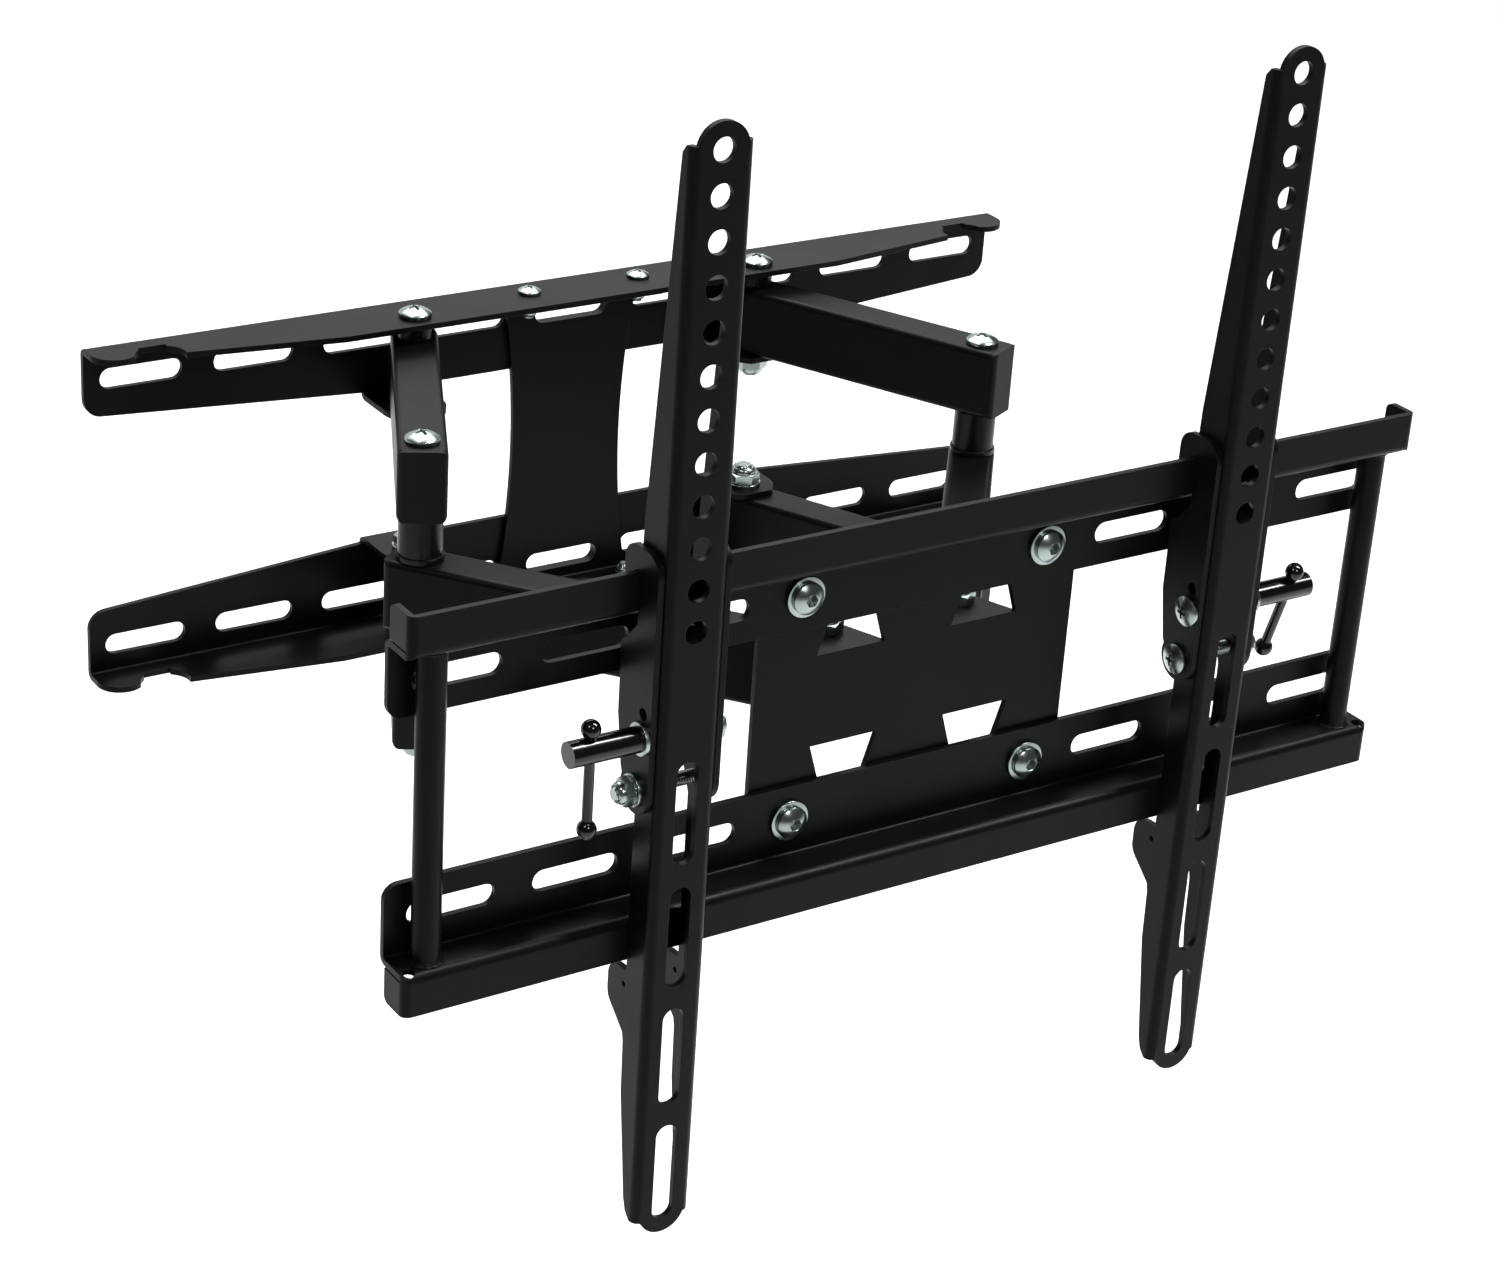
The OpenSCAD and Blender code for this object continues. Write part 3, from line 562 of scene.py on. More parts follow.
@dataclass(frozen=True)
class Finish:
    """What every finish of the mount has: a colour that drifts a little, a sheen that drifts a
    little, a grain in relief, and edges that catch the light through rounded normals and through a
    lighter edge colour, which is partly a thin, worn coat and partly a painted edge highlight.

    Attributes:
        name: What the finish is called in a workshop.
        colour: sRGB colour of the surface.
        worn: sRGB colour painted along edges: partly a worn, thin coat, partly a painted edge
            highlight.
        metallic: 1 for bare or plated metal, 0 for coats and plastics.
        roughness: Mean roughness.
        drift: How far roughness drifts to either side.
        grain_mm: Distance between grains, in millimetres.
        relief_mm: Height of the grain, in millimetres.
        edge_mm: Radius of the rounded edges, in millimetres.
        wear: How much of the edge colour, worn coat and painted highlight together, shows along
            edges.
        specular: Specular level of a coat or a plastic.
        lacquer: Weight of a clear gloss over it.
        cast: sRGB colour of its reflections.
    """

    name: str
    colour: str
    worn: str
    # Lighter colour along edges: partly worn coat, partly a painted edge highlight.
    metallic: float = 0.0
    roughness: float = 0.45
    drift: float = 0.04
    grain_mm: float = 1.0
    relief_mm: float = 0.02
    edge_mm: float = 0.5
    wear: float = 0.5
    specular: float = 0.5
    lacquer: float = 0.0
    cast: str = "#ffffff"

    def rub_edges(self, tree: bpy.types.NodeTree, soft: bpy.types.Node,
                  clouds: bpy.types.Node) -> bpy.types.Node:
        """Finds where the edge colour goes, partly edge wear and partly a painted edge highlight:
        an edge is where the rounded normal leaves the flat one.

        Args:
            tree: The material's node tree.
            soft: The node with the rounded normal.
            clouds: The node with the broad clouds.

        Returns:
            The node whose value is the share of the edge colour, wear and painted highlight
            together.
        """
        shape = add_node(tree, "ShaderNodeNewGeometry")
        turn = add_node(tree, "ShaderNodeVectorMath",
                        links={0: (soft, "Normal"), 1: (shape, "Normal")},
                        operation="DOT_PRODUCT")
        # Painted edge highlight: a lighter colour where the rounded normal turns from the flat
        # one, partly a thin, worn coat and partly light caught on the edge.
        edge = add_node(tree, "ShaderNodeMapRange",
                        {"From Min": 0.995, "From Max": 0.80, "To Min": 0.0, "To Max": self.wear},
                        {"Value": (turn, "Value")})
        # The clouds make the painted edge highlight and the wear patchy.
        patchy_edges = add_node(tree, "ShaderNodeMapRange",
                          {"From Min": 0.38, "From Max": 0.62, "To Min": 0.25, "To Max": 1.0},
                          {"Value": (clouds, "Fac")})
        return add_node(tree, "ShaderNodeMath",
                        links={0: (edge, "Result"), 1: (patchy_edges, "Result")},
                        operation="MULTIPLY", use_clamp=True)

    def tint(self, tree: bpy.types.NodeTree, share: bpy.types.Node,
             clouds: bpy.types.Node) -> bpy.types.Node:
        """Mixes the colour with the edge colour, worn coat and painted highlight together, and
        lets it drift with the clouds.

        Args:
            tree: The material's node tree.
            share: The node with the share of the edge colour, wear and painted highlight together.
            clouds: The node with the broad clouds.

        Returns:
            The node whose vector is the colour.
        """
        shade = add_node(tree, "ShaderNodeMapRange",
                         {"From Min": 0.3, "From Max": 0.7, "To Min": 0.86, "To Max": 1.12},
                         {"Value": (clouds, "Fac")})
        # The second colour is the painted edge highlight, partly worn coat.
        tone = add_node(tree, "ShaderNodeMix", {6: linear(self.colour), 7: linear(self.worn)},
                        {0: (share, "Value")}, data_type="RGBA")
        return add_node(tree, "ShaderNodeVectorMath",
                        links={0: (tone, 2), "Scale": (shade, "Result")}, operation="SCALE")

    def build(self) -> bpy.types.Material:
        """Makes the material.

        Returns:
            A material on Object coordinates, so that its grain keeps its real size.
        """
        material = bpy.data.materials.new(self.name)
        material.use_nodes = True
        tree = material.node_tree
        tree.nodes.clear()
        place = add_node(tree, "ShaderNodeTexCoord")
        spread = {"Vector": (place, "Object")}
        # Broad clouds of a few centimetres: the coat is never equally thick or equally clean.
        clouds = add_node(tree, "ShaderNodeTexNoise",
                          {"Scale": per_metre(CLOUD_MM), "Detail": 4.0, "Roughness": 0.6}, spread)
        # The grain itself, at its real distance.
        grain = add_node(tree, "ShaderNodeTexNoise",
                         {"Scale": per_metre(self.grain_mm), "Detail": 3.0, "Roughness": 0.55},
                         spread)
        soft = add_node(tree, "ShaderNodeBevel", {"Radius": self.edge_mm * MM}, samples=4)
        colour = self.tint(tree, self.rub_edges(tree, soft, clouds), clouds)
        sheen = add_node(tree, "ShaderNodeMapRange",
                         {"From Min": 0.3, "From Max": 0.7,
                          "To Min": self.roughness - self.drift,
                          "To Max": self.roughness + self.drift}, {"Value": (clouds, "Fac")})
        relief = add_node(tree, "ShaderNodeBump",
                          {"Strength": 1.0, "Distance": self.relief_mm * MM},
                          {"Height": (grain, "Fac"), "Normal": (soft, "Normal")})
        body = add_node(tree, "ShaderNodeBsdfPrincipled",
                        {"Metallic": self.metallic, "Specular IOR Level": self.specular,
                         "Specular Tint": linear(self.cast), "Coat Weight": self.lacquer,
                         "Coat Roughness": LACQUER_ROUGHNESS},
                        {"Base Color": (colour, "Vector"), "Roughness": (sheen, "Result"),
                         "Normal": (relief, "Normal")})
        add_node(tree, "ShaderNodeOutputMaterial", links={"Surface": (body, "BSDF")})
        return material


# The second colour of each finish goes along its edges: partly a thin, worn coat, partly a painted
# edge highlight.
# Satin black powder coat on pressed steel: nearly black, a soft broad sheen, a fine orange peel,
# and a greyer colour along sheared edges and hole rims, partly a thinner coat and partly a painted
# edge highlight.
POWDER_COAT = Finish("satin_black_powder_coat", "#080908", "#262825", roughness=0.38, drift=0.05,
                     grain_mm=1.1, relief_mm=0.02, edge_mm=0.45, wear=0.45, specular=0.09,
                     cast="#f0fff2")
# Bright zinc plate: silvery metal with a cold green cast and a slightly cloudy gloss.
ZINC_PLATE = Finish("bright_zinc_plate", "#9aa5a4", "#c3cac9", metallic=1.0, roughness=0.24,
                    drift=0.06, grain_mm=0.8, relief_mm=0.006, edge_mm=0.15, wear=0.5)
# Moulded black nylon: deep matt black with a fine spark-eroded grain from its mould.
MOULDED_NYLON = Finish("moulded_black_nylon", "#0a0a0a", "#1c1c1b", roughness=0.5, drift=0.04,
                       grain_mm=0.5, relief_mm=0.015, edge_mm=0.5, wear=0.3, specular=0.13)
# Turned black acetal: smoother than nylon, with the soft gloss of a machined bush.
TURNED_ACETAL = Finish("turned_black_acetal", "#0c0c0b", "#20201f", roughness=0.3, drift=0.04,
                       grain_mm=0.4, relief_mm=0.005, edge_mm=0.3, wear=0.3, specular=0.2)
# Gloss black enamel on turned steel: a wet black that draws lamps as sharp lines.
GLOSS_ENAMEL = Finish("gloss_black_enamel", "#040505", "#161717", roughness=0.16, drift=0.03,
                      grain_mm=1.6, relief_mm=0.004, edge_mm=0.3, wear=0.3, specular=0.3,
                      lacquer=0.25)
# Cut steel tube: dull grey metal with the marks of the saw and the tumbling drum.
CUT_STEEL = Finish("cut_steel_tube", "#8b8d8f", "#b4b6b8", metallic=1.0, roughness=0.42,
                   drift=0.08, grain_mm=0.35, relief_mm=0.012, edge_mm=0.2, wear=0.4)
# Natural nylon: the milky ring that grips the thread in a lock nut.
NATURAL_NYLON = Finish("natural_nylon", "#d7dad2", "#e8eae4", roughness=0.45, drift=0.04,
                       grain_mm=0.4, relief_mm=0.004, edge_mm=0.1, wear=0.2)


class FinishShop:
    """Builds each finish once and puts it on pieces and CAD nodes."""

    def __init__(self) -> None:
        """Starts with no finish built."""
        self.built: dict[str, bpy.types.Material] = {}

    def get(self, finish: Finish) -> bpy.types.Material:
        """Gives the material of a finish.

        Args:
            finish: The finish wanted.

        Returns:
            Its one material.
        """
        if finish.name not in self.built:
            self.built[finish.name] = finish.build()
        return self.built[finish.name]

    def coat(self, node: str, finish: Finish) -> None:
        """Puts a finish on a CAD node.

        Args:
            node: The node's name.
            finish: Its finish.
        """
        mesh = frame["nodes"][node].data
        mesh.materials.clear()
        mesh.materials.append(self.get(finish))
        LOG.info("coated %s with %s", node, finish.name)


# -------------------------------------------------------------------------------- sub-assemblies


@dataclass
class Assembly:
    """A group of pieces that is dressed together.

    Attributes:
        shop: Where its finishes come from.
    """

    shop: FinishShop

    def fit(self, name: str, body: str, surfaces: list, finish: Finish) -> bpy.types.Object:
        """Makes one piece of several surfaces and lets it ride on a body.

        Args:
            name: The piece's name.
            body: The body that it rides on.
            surfaces: Pairs of a surface and the spindle it stands on.
            finish: Its finish.

        Returns:
            The new piece.
        """
        placed = [(spindle.place(points), faces) for (points, faces), spindle in surfaces]
        piece = make_piece(name, join_meshes(placed), self.shop.get(finish))
        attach(piece, body)
        LOG.info("made %s with %d faces", piece.name, len(piece.data.polygons))
        return piece

    def stand_in(self, node: str, body: str, slot: str, surfaces: list, finish: Finish) -> None:
        """Makes one detailed piece in the place of a CAD node.

        Args:
            node: The CAD node that it stands for, whose name it takes.
            body: The body that it rides on.
            slot: Not used.
            surfaces: Pairs of a surface and the spindle it stands on.
            finish: Its finish.
        """
        piece = self.fit("made_" + node, body, surfaces, finish)
        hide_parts(node)

    def trim(self, name: str, body: str, slot: str, surfaces: list, finish: Finish) -> None:
        """Makes one small piece that no CAD node stands for.

        Args:
            name: The piece's name.
            body: The body that it rides on.
            slot: Not used.
            surfaces: Pairs of a surface and the spindle it stands on.
            finish: Its finish.
        """
        self.fit(name, body, surfaces, finish)


UP = (0.0, 0.0, 1.0)
DOWN = (0.0, 0.0, -1.0)
OUT_OF_WALL = (0.0, -1.0, 0.0)
INTO_WALL = (0.0, 1.0, 0.0)


@dataclass
class WallFrame(Assembly):
    """The two wall rails, the plate between them, and the fasteners that hold the arms.

    Attributes:
        sheet: Thickness of the sheet steel.
        plate_screw: The small screws through rail flange and plate.
        plate_nut: Their nuts.
        pivot_nut: The nuts under the ears.
        pivot_washer: The washers under those nuts.
        thread: Length of the thread of the pivot bolts.
    """

    sheet: float = 2.5
    plate_screw: Screw = Screw(5.0, 11.0, 10.0, 3.0, threaded=10.5, pitch=0.9)
    plate_nut: LockNut = LockNut(8.0, 4.5, 5.1)
    pivot_nut: LockNut = PIVOT_NUT
    pivot_washer: Washer = Washer(16.0, 8.1, 1.6)
    thread: float = 14.0

    def dress(self) -> None:
        """Coats the steel and the spacers and makes every fastener."""
        for node in ("wall_top_rail", "wall_bottom_rail", "wall_center_plate"):
            self.shop.coat(node, POWDER_COAT)
        self.shop.coat("wall_pivot_spacers", TURNED_ACETAL)
        self.plate_fasteners()
        self.pivot_fasteners()

    def plate_fasteners(self) -> None:
        """Screws stand on the flanges, and their nuts hang from the plate's bent ends."""
        low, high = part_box("wall_plate_screws")
        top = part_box("wall_top_rail")[1].z
        x = high.x - self.plate_screw.head / 2 * MM
        y = (low.y + high.y) / 2
        nut_z = top - 2 * self.sheet * MM
        screws, nuts, rings = [], [], []
        for side in (-x, x):
            for level, way, back in ((1, UP, DOWN), (-1, DOWN, UP)):
                screws.append((self.plate_screw.surface(), Spindle((side, y, level * top), way)))
                seat = Spindle((side, y, level * nut_z), back)
                nuts.append((self.plate_nut.surface(), seat))
                rings.append((self.plate_nut.insert(), seat))
        self.stand_in("wall_plate_screws", "wall", "zinc_plate", screws, ZINC_PLATE)
        self.stand_in("wall_plate_nuts", "wall", "zinc_plate", nuts, ZINC_PLATE)
        self.trim("wall_plate_nut_rings", "wall", "black_nylon", rings, NATURAL_NYLON)

    def pivot_fasteners(self) -> None:
        """Each pivot bolt has its head on the flange and a washer and nut at the ear."""
        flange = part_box("wall_top_rail")[1].z
        nut_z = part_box("wall_pivot_nuts")[1].z
        nuts, rings, washers = [], [], []
        for side in Side:
            x, y, _ = joint_place("fold_" + side.word)
            node = "wall_pivot_bolts_" + side.word
            low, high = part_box(node)
            reach = (flange - nut_z) / MM + self.pivot_nut.height + TIP_OUT
            bolt = Screw(PIVOT_SHANK, reach, (high.x - low.x) / MM, (high.z - flange) / MM,
                         threaded=self.thread)
            shafts = []
            for level, way, back in ((1, UP, DOWN), (-1, DOWN, UP)):
                shafts.append((bolt.surface(), Spindle((x, y, level * flange), way)))
                seat = (x, y, level * nut_z)
                nuts.append((self.pivot_nut.surface(), Spindle(seat, back)))
                rings.append((self.pivot_nut.insert(), Spindle(seat, back)))
                washers.append((self.pivot_washer.surface(), Spindle(seat, way)))
            self.stand_in(node, "wall", "zinc_plate", shafts, ZINC_PLATE)
        self.stand_in("wall_pivot_nuts", "wall", "zinc_plate", nuts, ZINC_PLATE)
        self.stand_in("wall_pivot_washers", "wall", "zinc_plate", washers, ZINC_PLATE)
        self.trim("wall_pivot_nut_rings", "wall", "black_nylon", rings, NATURAL_NYLON)


@dataclass
class ArmPair(Assembly):
    """The two rear arms and the forearm of one side, with the elbow between them.

    Attributes:
        side: Which side of the mount.
        elbow_nut: The nut under the elbow.
        thread: Length of the elbow bolt's thread.
    """

    side: Side
    elbow_nut: LockNut = PIVOT_NUT
    thread: float = 20.0

    def dress(self) -> None:
        """Coats tubes, caps, sleeves and bushes and makes the elbow's bolt and nut."""
        word = self.side.word
        for node in (f"rear_arm_upper_{word}", f"rear_arm_lower_{word}", f"forearm_{word}"):
            self.shop.coat(node, POWDER_COAT)
        for node in (f"rear_arm_caps_{word}", f"forearm_caps_{word}"):
            self.shop.coat(node, MOULDED_NYLON)
        self.shop.coat(f"elbow_bushes_{word}", TURNED_ACETAL)
        sleeves = "forearm_sleeves_left" if self.side is Side.LEFT else "forearm_sleeve_right"
        for node in (f"rear_arm_sleeves_{word}", sleeves):
            self.shop.coat(node, CUT_STEEL)
        self.elbow()

    def elbow(self) -> None:
        """One long bolt from the upper rear arm down through the lower one, and its nut."""
        word = self.side.word
        x, y, _ = joint_place("elbow_" + word)
        low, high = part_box("elbow_bolt_" + word)
        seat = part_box("rear_arm_upper_" + word)[1].z
        bolt = Screw(PIVOT_SHANK, (seat - low.z) / MM, (high.x - low.x) / MM,
                     (high.z - seat) / MM, threaded=self.thread)
        body = "rear_" + word
        self.stand_in("elbow_bolt_" + word, body, "zinc_plate",
                      [(bolt.surface(), Spindle((x, y, seat)))], ZINC_PLATE)
        foot = Spindle((x, y, -seat), DOWN)
        self.stand_in("elbow_nut_" + word, body, "zinc_plate",
                      [(self.elbow_nut.surface(), foot)], ZINC_PLATE)
        self.trim(f"elbow_nut_ring_{word}", body, "black_nylon",
                  [(self.elbow_nut.insert(), foot)], NATURAL_NYLON)


@dataclass
class ScreenFrame(Assembly):
    """The two Z-section rails, the plate behind them, the end posts and their fasteners.

    Attributes:
        plate_head: Diameter of the heads of the plate screws.
        plate_thread: Length of their thread.
        low_head: Diameter of the heads of the pivot bolts.
        low_thread: Length of their thread.
        plate_washer: The washers under the plate screws.
        lock_nut: The nuts behind the plate and on the pivots.
        weld: Radius of the weld bead round each end of a post.
    """

    plate_head: float = 13.0
    plate_thread: float = 11.0
    low_head: float = 12.0
    low_thread: float = 12.0
    plate_washer: Washer = Washer(16.6, 8.1, 1.6)
    lock_nut: LockNut = PIVOT_NUT
    weld: float = 1.3

    def dress(self) -> None:
        """Coats the steel and makes screws, washers, nuts, pivot bolts and weld beads."""
        for node in ("tv_top_rail", "tv_bottom_rail", "tv_center_plate", "tv_post_left",
                     "tv_post_right"):
            self.shop.coat(node, POWDER_COAT)
        self.shop.coat("tv_pivot_washers", MOULDED_NYLON)
        self.plate_fasteners()
        self.pivot_fasteners()
        self.post_welds()

    def plate_fasteners(self) -> None:
        """Four screws with washers in front of the webs and nuts behind the plate."""
        low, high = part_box("tv_plate_washers")
        x = high.x - self.plate_washer.outside / 2 * MM
        z = high.z - self.plate_washer.outside / 2 * MM
        nut_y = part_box("tv_plate_nuts")[0].y
        head_top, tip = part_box("tv_plate_screws")
        screw = Screw(PIVOT_SHANK, (tip.y - low.y) / MM, self.plate_head,
                      (low.y - head_top.y) / MM, threaded=self.plate_thread, drive=Drive.SOCKET)
        screws, washers, nuts, rings = [], [], [], []
        for place_x in (-x, x):
            for place_z in (-z, z):
                screws.append((screw.surface(), Spindle((place_x, low.y, place_z), OUT_OF_WALL)))
                washers.append((self.plate_washer.surface(),
                                Spindle((place_x, high.y, place_z), OUT_OF_WALL)))
                seat = Spindle((place_x, nut_y, place_z), INTO_WALL)
                nuts.append((self.lock_nut.surface(), seat))
                rings.append((self.lock_nut.insert(), seat))
        self.stand_in("tv_plate_screws", "tv_frame", "zinc_plate", screws, ZINC_PLATE)
        self.stand_in("tv_plate_washers", "tv_frame", "zinc_plate", washers, ZINC_PLATE)
        self.stand_in("tv_plate_nuts", "tv_frame", "zinc_plate", nuts, ZINC_PLATE)
        self.trim("tv_plate_nut_rings", "tv_frame", "black_nylon", rings, NATURAL_NYLON)

    def pivot_fasteners(self) -> None:
        """Two bolts up through tabs and forearm ends, with their nuts above."""
        left = joint_place("screen_left")
        low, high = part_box("tv_pivot_bolts")
        nut_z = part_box("tv_pivot_nuts")[0].z
        bolt = Screw(PIVOT_SHANK, (high.z + nut_z) / MM, self.low_head, (-nut_z - low.z) / MM,
                     threaded=self.low_thread)
        bolts, nuts, rings = [], [], []
        for x in (left[0], -left[0]):
            bolts.append((bolt.surface(), Spindle((x, left[1], -nut_z), DOWN)))
            seat = Spindle((x, left[1], nut_z), UP)
            nuts.append((self.lock_nut.surface(), seat))
            rings.append((self.lock_nut.insert(), seat))
        self.stand_in("tv_pivot_bolts", "tv_frame", "zinc_plate", bolts, ZINC_PLATE)
        self.stand_in("tv_pivot_nuts", "tv_frame", "zinc_plate", nuts, ZINC_PLATE)
        self.trim("tv_pivot_nut_rings", "tv_frame", "black_nylon", rings, NATURAL_NYLON)

    def post_welds(self) -> None:
        """A small hollow bead round each end of each post: its profile is a corner whose face
        bends in, and it swells and shrinks a little eleven times round, as laid beads do."""
        beads = []
        sunk = 0.1 * MM
        waist = 0.35
        swell = 1 + 0.12 * np.sin(11 * ring_angles())
        for node in ("tv_post_left", "tv_post_right"):
            low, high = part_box(node)
            centre = (low + high) / 2
            post = (high.x - low.x) / 2 - sunk
            leg = self.weld * MM * swell
            radii = [post, post + leg, post + waist * leg, post]
            heights = [0.0, 0.0, waist * leg, leg]
            bead = stack_rings(radii, heights, closed=True)
            beads.append((bead, Spindle((centre.x, centre.y, low.z), UP)))
            beads.append((bead, Spindle((centre.x, centre.y, high.z), DOWN)))
        self.trim("tv_post_weld_beads", "tv_frame", "black_powder_coat", beads, POWDER_COAT)


@dataclass
class Bracket(Assembly):
    """Hook plates, upright, tilt and lock bolts and the T-handle of one side.

    Attributes:
        side: Which side of the mount.
        nut: The nut on the tilt bolt.
        washer: The washers on both bolts, a hair thinner than their sheet, so that the turning
            barrel doesn't share a plane with the lock bolt's.
        shank: Diameter of both bolts.
        head: Diameter of both bolt heads.
        neck: Plain length under each head, without thread.
        pitch: Height of one turn of their threads.
        bar: The sliding bar.
    """

    side: Side
    nut: LockNut = LockNut(10.0, 6.0, 6.1)
    washer: Washer = Washer(12.8, 6.1, 1.48)
    shank: float = 6.0
    head: float = 12.5
    neck: float = 1.0
    pitch: float = 1.0
    bar: SlidingBar = SlidingBar()
    outward: tuple[float, float, float] = field(init=False)

    def __post_init__(self) -> None:
        """Works out which way this side's fasteners point."""
        self.outward = (float(self.side.value), 0.0, 0.0)

    def dress(self) -> None:
        """Coats hooks, upright and handle and makes bolts, nut, washers and bar."""
        word = self.side.word
        self.shop.coat("upright_" + word, POWDER_COAT)
        self.shop.coat("hook_plates_" + word, POWDER_COAT)
        self.shop.coat("lock_handle_" + word, GLOSS_ENAMEL)
        self.bolts()
        self.sliding_bar()

    def across(self, node: str, inner: bool) -> float:
        """Finds the inner or outer end of a CAD node, seen from the middle of the mount.

        Args:
            node: The CAD node.
            inner: Whether the end nearer the middle is wanted.

        Returns:
            Its X in metres.
        """
        low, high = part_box(node)
        near_is_low = self.side is Side.RIGHT
        return low.x if inner == near_is_low else high.x

    def bolts(self) -> None:
        """Both bolts go outwards through the hook plates with their heads inside."""
        word = self.side.word
        way = self.side.value
        inner_face = self.across("hook_plates_" + word, inner=True)
        outer_face = self.across("hook_plates_" + word, inner=False)
        inward = (-float(way), 0.0, 0.0)
        for joint, node, body in (("tilt_", "tilt_bolt_", "bracket_"),
                                  ("lock_", "lock_bolt_", "upright_")):
            _, y, z = joint_place(joint + word)
            head_top = self.across(node + word, inner=True)
            tip = self.across(node + word, inner=False)
            length = abs(tip - inner_face) / MM
            bolt = Screw(self.shank, length, self.head, abs(inner_face - head_top) / MM,
                         threaded=length - self.neck, pitch=self.pitch)
            pieces = [(bolt.surface(), Spindle((inner_face, y, z), inward))]
            seat = Spindle((outer_face, y, z), self.outward)
            if joint == "lock_":
                pieces.append((self.washer.surface(), seat))
            self.stand_in(node + word, body + word, "zinc_plate", pieces, ZINC_PLATE)
        _, y, z = joint_place("tilt_" + word)
        washer_face = outer_face + way * self.washer.thickness * MM
        seat = Spindle((washer_face, y, z), self.outward)
        self.stand_in("tilt_nut_" + word, "bracket_" + word, "zinc_plate",
                      [(self.washer.surface(), Spindle((outer_face, y, z), self.outward)),
                       (self.nut.surface(), seat)], ZINC_PLATE)
        self.trim(f"tilt_nut_ring_{word}", "bracket_" + word, "black_nylon",
                  [(self.nut.insert(), seat)], NATURAL_NYLON)

    def sliding_bar(self) -> None:
        """The bar hangs in the cross hole of the barrel on its upper ball."""
        word = self.side.word
        node = "tommy_bar_" + word
        low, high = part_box(node)
        way = np.array(joint_axis("bar_slide_" + word), float)
        middle = np.array((low + high) / 2)
        upper = middle + way * self.bar.span / 2 * MM
        self.stand_in(node, "bar_" + word, "gloss_black_enamel",
                      [(self.bar.surface(), Spindle(tuple(upper), tuple(way)))], GLOSS_ENAMEL)


# --------------------------------------------------------------------------------------- studio


@dataclass(frozen=True)
class Viewpoint:
    """Where the camera stands.

    Attributes:
        place_mm: The camera's place in millimetres.
        azimuth: Degrees from straight ahead, towards the right.
        elevation: Degrees that it looks down.
        roll: Degrees that it leans.
        lens_mm: Focal length on a sensor 36 mm wide.
    """

    place_mm: tuple[float, float, float] = (-713.28, -1208.23, 569.17)
    azimuth: float = 34.237
    elevation: float = 25.331
    roll: float = 3.852
    lens_mm: float = 81.487

    def stand(self) -> None:
        """Makes the camera and makes it the scene's own."""
        data = bpy.data.cameras.new("camera")
        data.sensor_width = 36.0
        data.lens = self.lens_mm
        data.clip_start = 0.01
        data.clip_end = 50.0
        camera = bpy.data.objects.new("camera", data)
        camera.location = [value * MM for value in self.place_mm]
        camera.rotation_mode = "XYZ"
        down, right, lean_by = (math.radians(v) for v in (self.elevation, self.azimuth, self.roll))
        level = Euler((math.pi / 2 - down, 0.0, -right), "XYZ").to_matrix()
        lean = Euler((0.0, 0.0, lean_by), "XYZ").to_matrix()
        camera.rotation_euler = (level @ lean).to_euler("XYZ")
        bpy.context.scene.collection.objects.link(camera)
        bpy.context.scene.camera = camera


@dataclass(frozen=True)
class Softbox:
    """A studio lamp with a flat front that faces one point.

    Attributes:
        name: The lamp's name.
        place: Its place in metres.
        aim: The point it faces, in metres.
        width: Its width in metres.
        height: Its height in metres.
        brightness: Power for each square metre of its front, in watts.
    """

    name: str
    place: tuple[float, float, float]
    aim: tuple[float, float, float]
    width: float
    height: float
    brightness: float

    def hang(self) -> None:
        """Hangs the lamp and points it."""
        data = bpy.data.lights.new(self.name, "AREA")
        data.shape = "RECTANGLE"
        data.size = self.width
        data.size_y = self.height
        data.energy = self.brightness * self.width * self.height
        lamp = bpy.data.objects.new(self.name, data)
        lamp.location = self.place
        way = Vector(self.aim) - Vector(self.place)
        lamp.rotation_euler = way.to_track_quat("-Z", "Y").to_euler()
        bpy.context.scene.collection.objects.link(lamp)


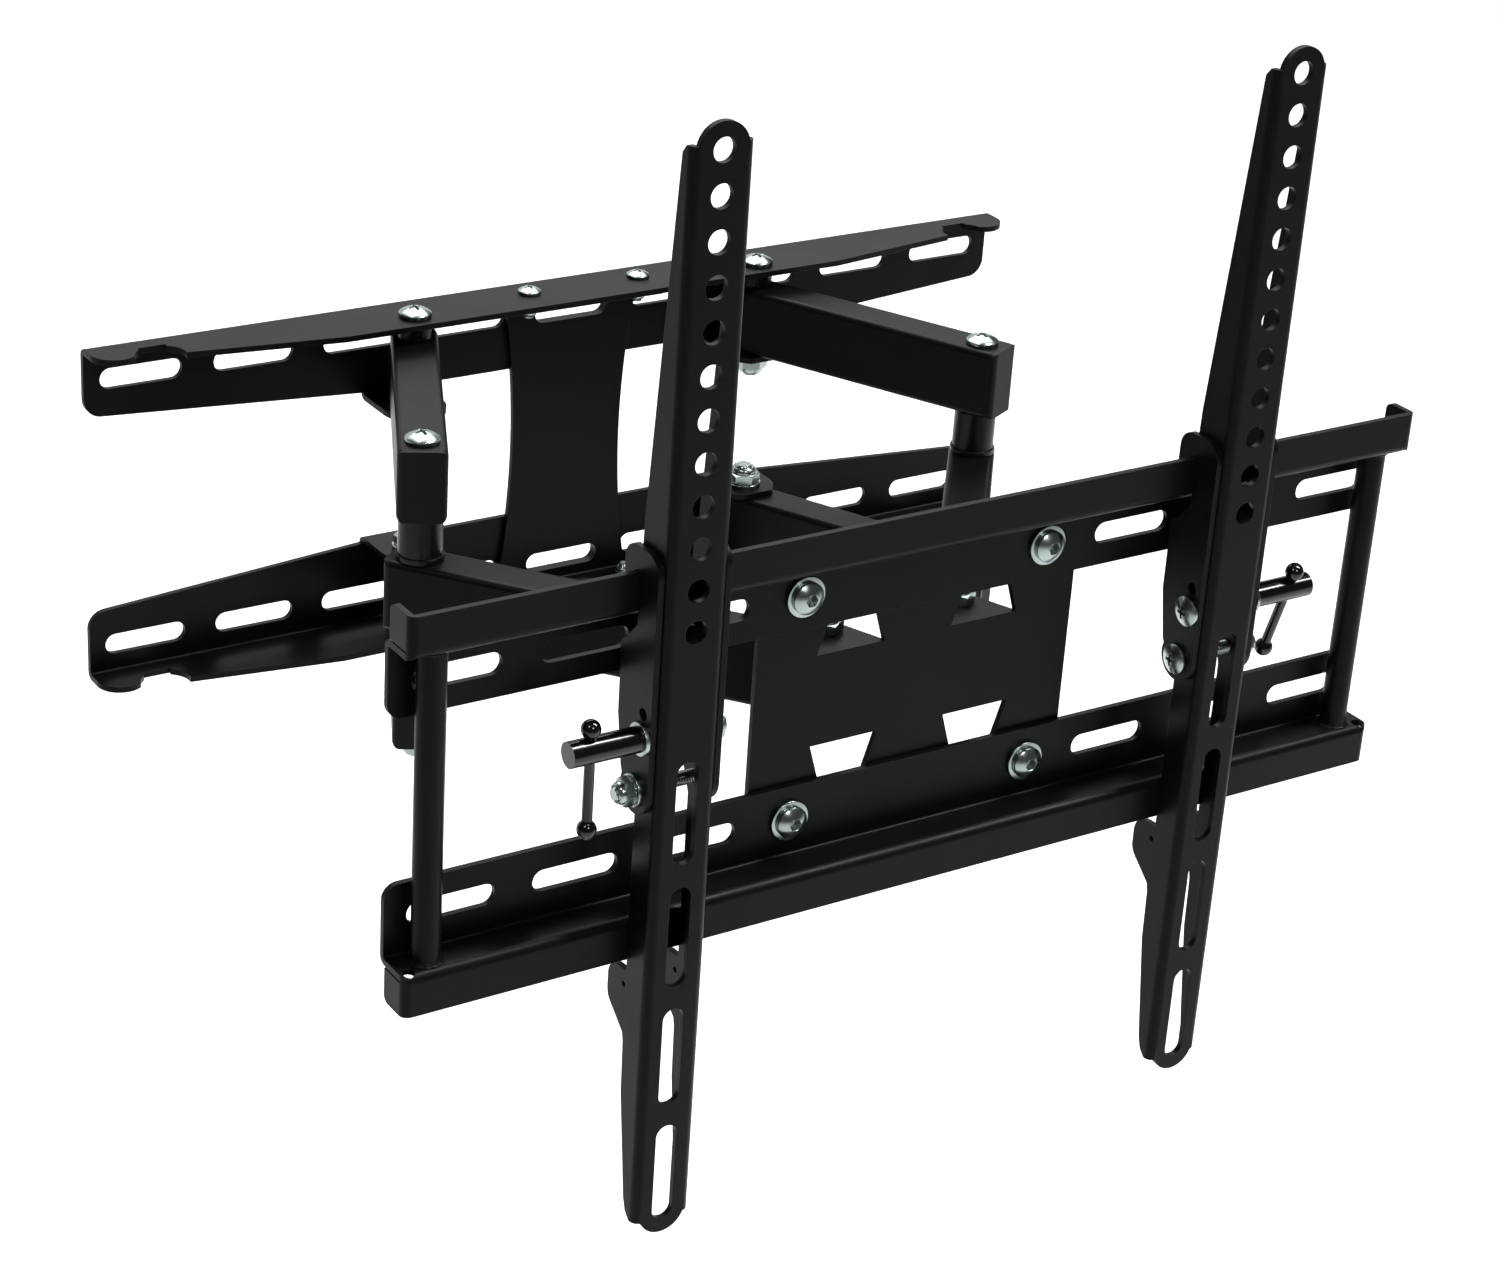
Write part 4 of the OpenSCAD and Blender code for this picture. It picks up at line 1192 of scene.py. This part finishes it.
@dataclass(frozen=True)
class Studio:
    """A plain pale floor, soft lamps and an even pale surround.

    Attributes:
        drop: How far the floor lies below the mount, in metres.
        half_width: Half the width of the floor, in metres.
        paper: sRGB colour of the floor.
        surround: Strength of the even light from all round.
        lamps: The softboxes.
    """

    drop: float = 0.45
    half_width: float = 14.0
    paper: str = "#f6f6f5"
    surround: float = 0.09
    lamps: tuple[Softbox, ...] = (
        Softbox("backdrop", (1.2, 5.0, 1.4), (1.2, 0.0, 1.4), 10.0, 4.6, 2.6),
        Softbox("overhead_softbox", (0.9, 1.7, 2.5), (0.9, 1.6, 0.0), 3.2, 3.2, 14.5),
        Softbox("strip_softbox", (1.15, -0.85, 1.9), (0.0, -0.25, 0.0), 0.4, 1.3, 130.0),
        Softbox("key_softbox", (-1.5, -1.0, 2.0), (0.0, -0.2, 0.0), 0.5, 0.5, 60.0),
        Softbox("front_softbox", (-0.2, -2.6, 1.7), (0.0, -0.3, 0.0), 0.5, 0.5, 90.0),
    )

    def build(self) -> None:
        """Lays the floor, hangs the lamps and sets the surround."""
        depth = CAD_BOX[0][2] - self.drop
        edge = self.half_width
        corners = [(-edge, -edge, depth), (edge, -edge, depth), (edge, edge, depth),
                   (-edge, edge, depth)]
        mesh = bpy.data.meshes.new("floor")
        mesh.from_pydata(corners, [], [(0, 1, 2, 3)])
        floor = bpy.data.objects.new("floor", mesh)
        bpy.context.scene.collection.objects.link(floor)
        paper = bpy.data.materials.new("white_paper")
        paper.use_nodes = True
        body = paper.node_tree.nodes["Principled BSDF"]
        body.inputs["Base Color"].default_value = linear(self.paper)
        body.inputs["Roughness"].default_value = 0.9
        body.inputs["Specular IOR Level"].default_value = 0.0
        mesh.materials.append(paper)
        for lamp in self.lamps:
            lamp.hang()
        world = bpy.data.worlds.new("surround")
        world.use_nodes = True
        sky = world.node_tree.nodes["Background"]
        sky.inputs["Color"].default_value = (1.0, 1.0, 1.0, 1.0)
        sky.inputs["Strength"].default_value = self.surround
        bpy.context.scene.world = world
        bpy.context.scene.view_settings.view_transform = "Standard"


def main() -> None:
    """Builds the camera, the studio and every sub-assembly."""
    logging.basicConfig(level=logging.INFO, format="%(message)s")
    Viewpoint().stand()
    Studio().build()
    shop = FinishShop()
    WallFrame(shop).dress()
    for side in Side:
        ArmPair(shop, side).dress()
    ScreenFrame(shop).dress()
    for side in Side:
        Bracket(shop, side).dress()


if __name__ == "__main__":
    main()
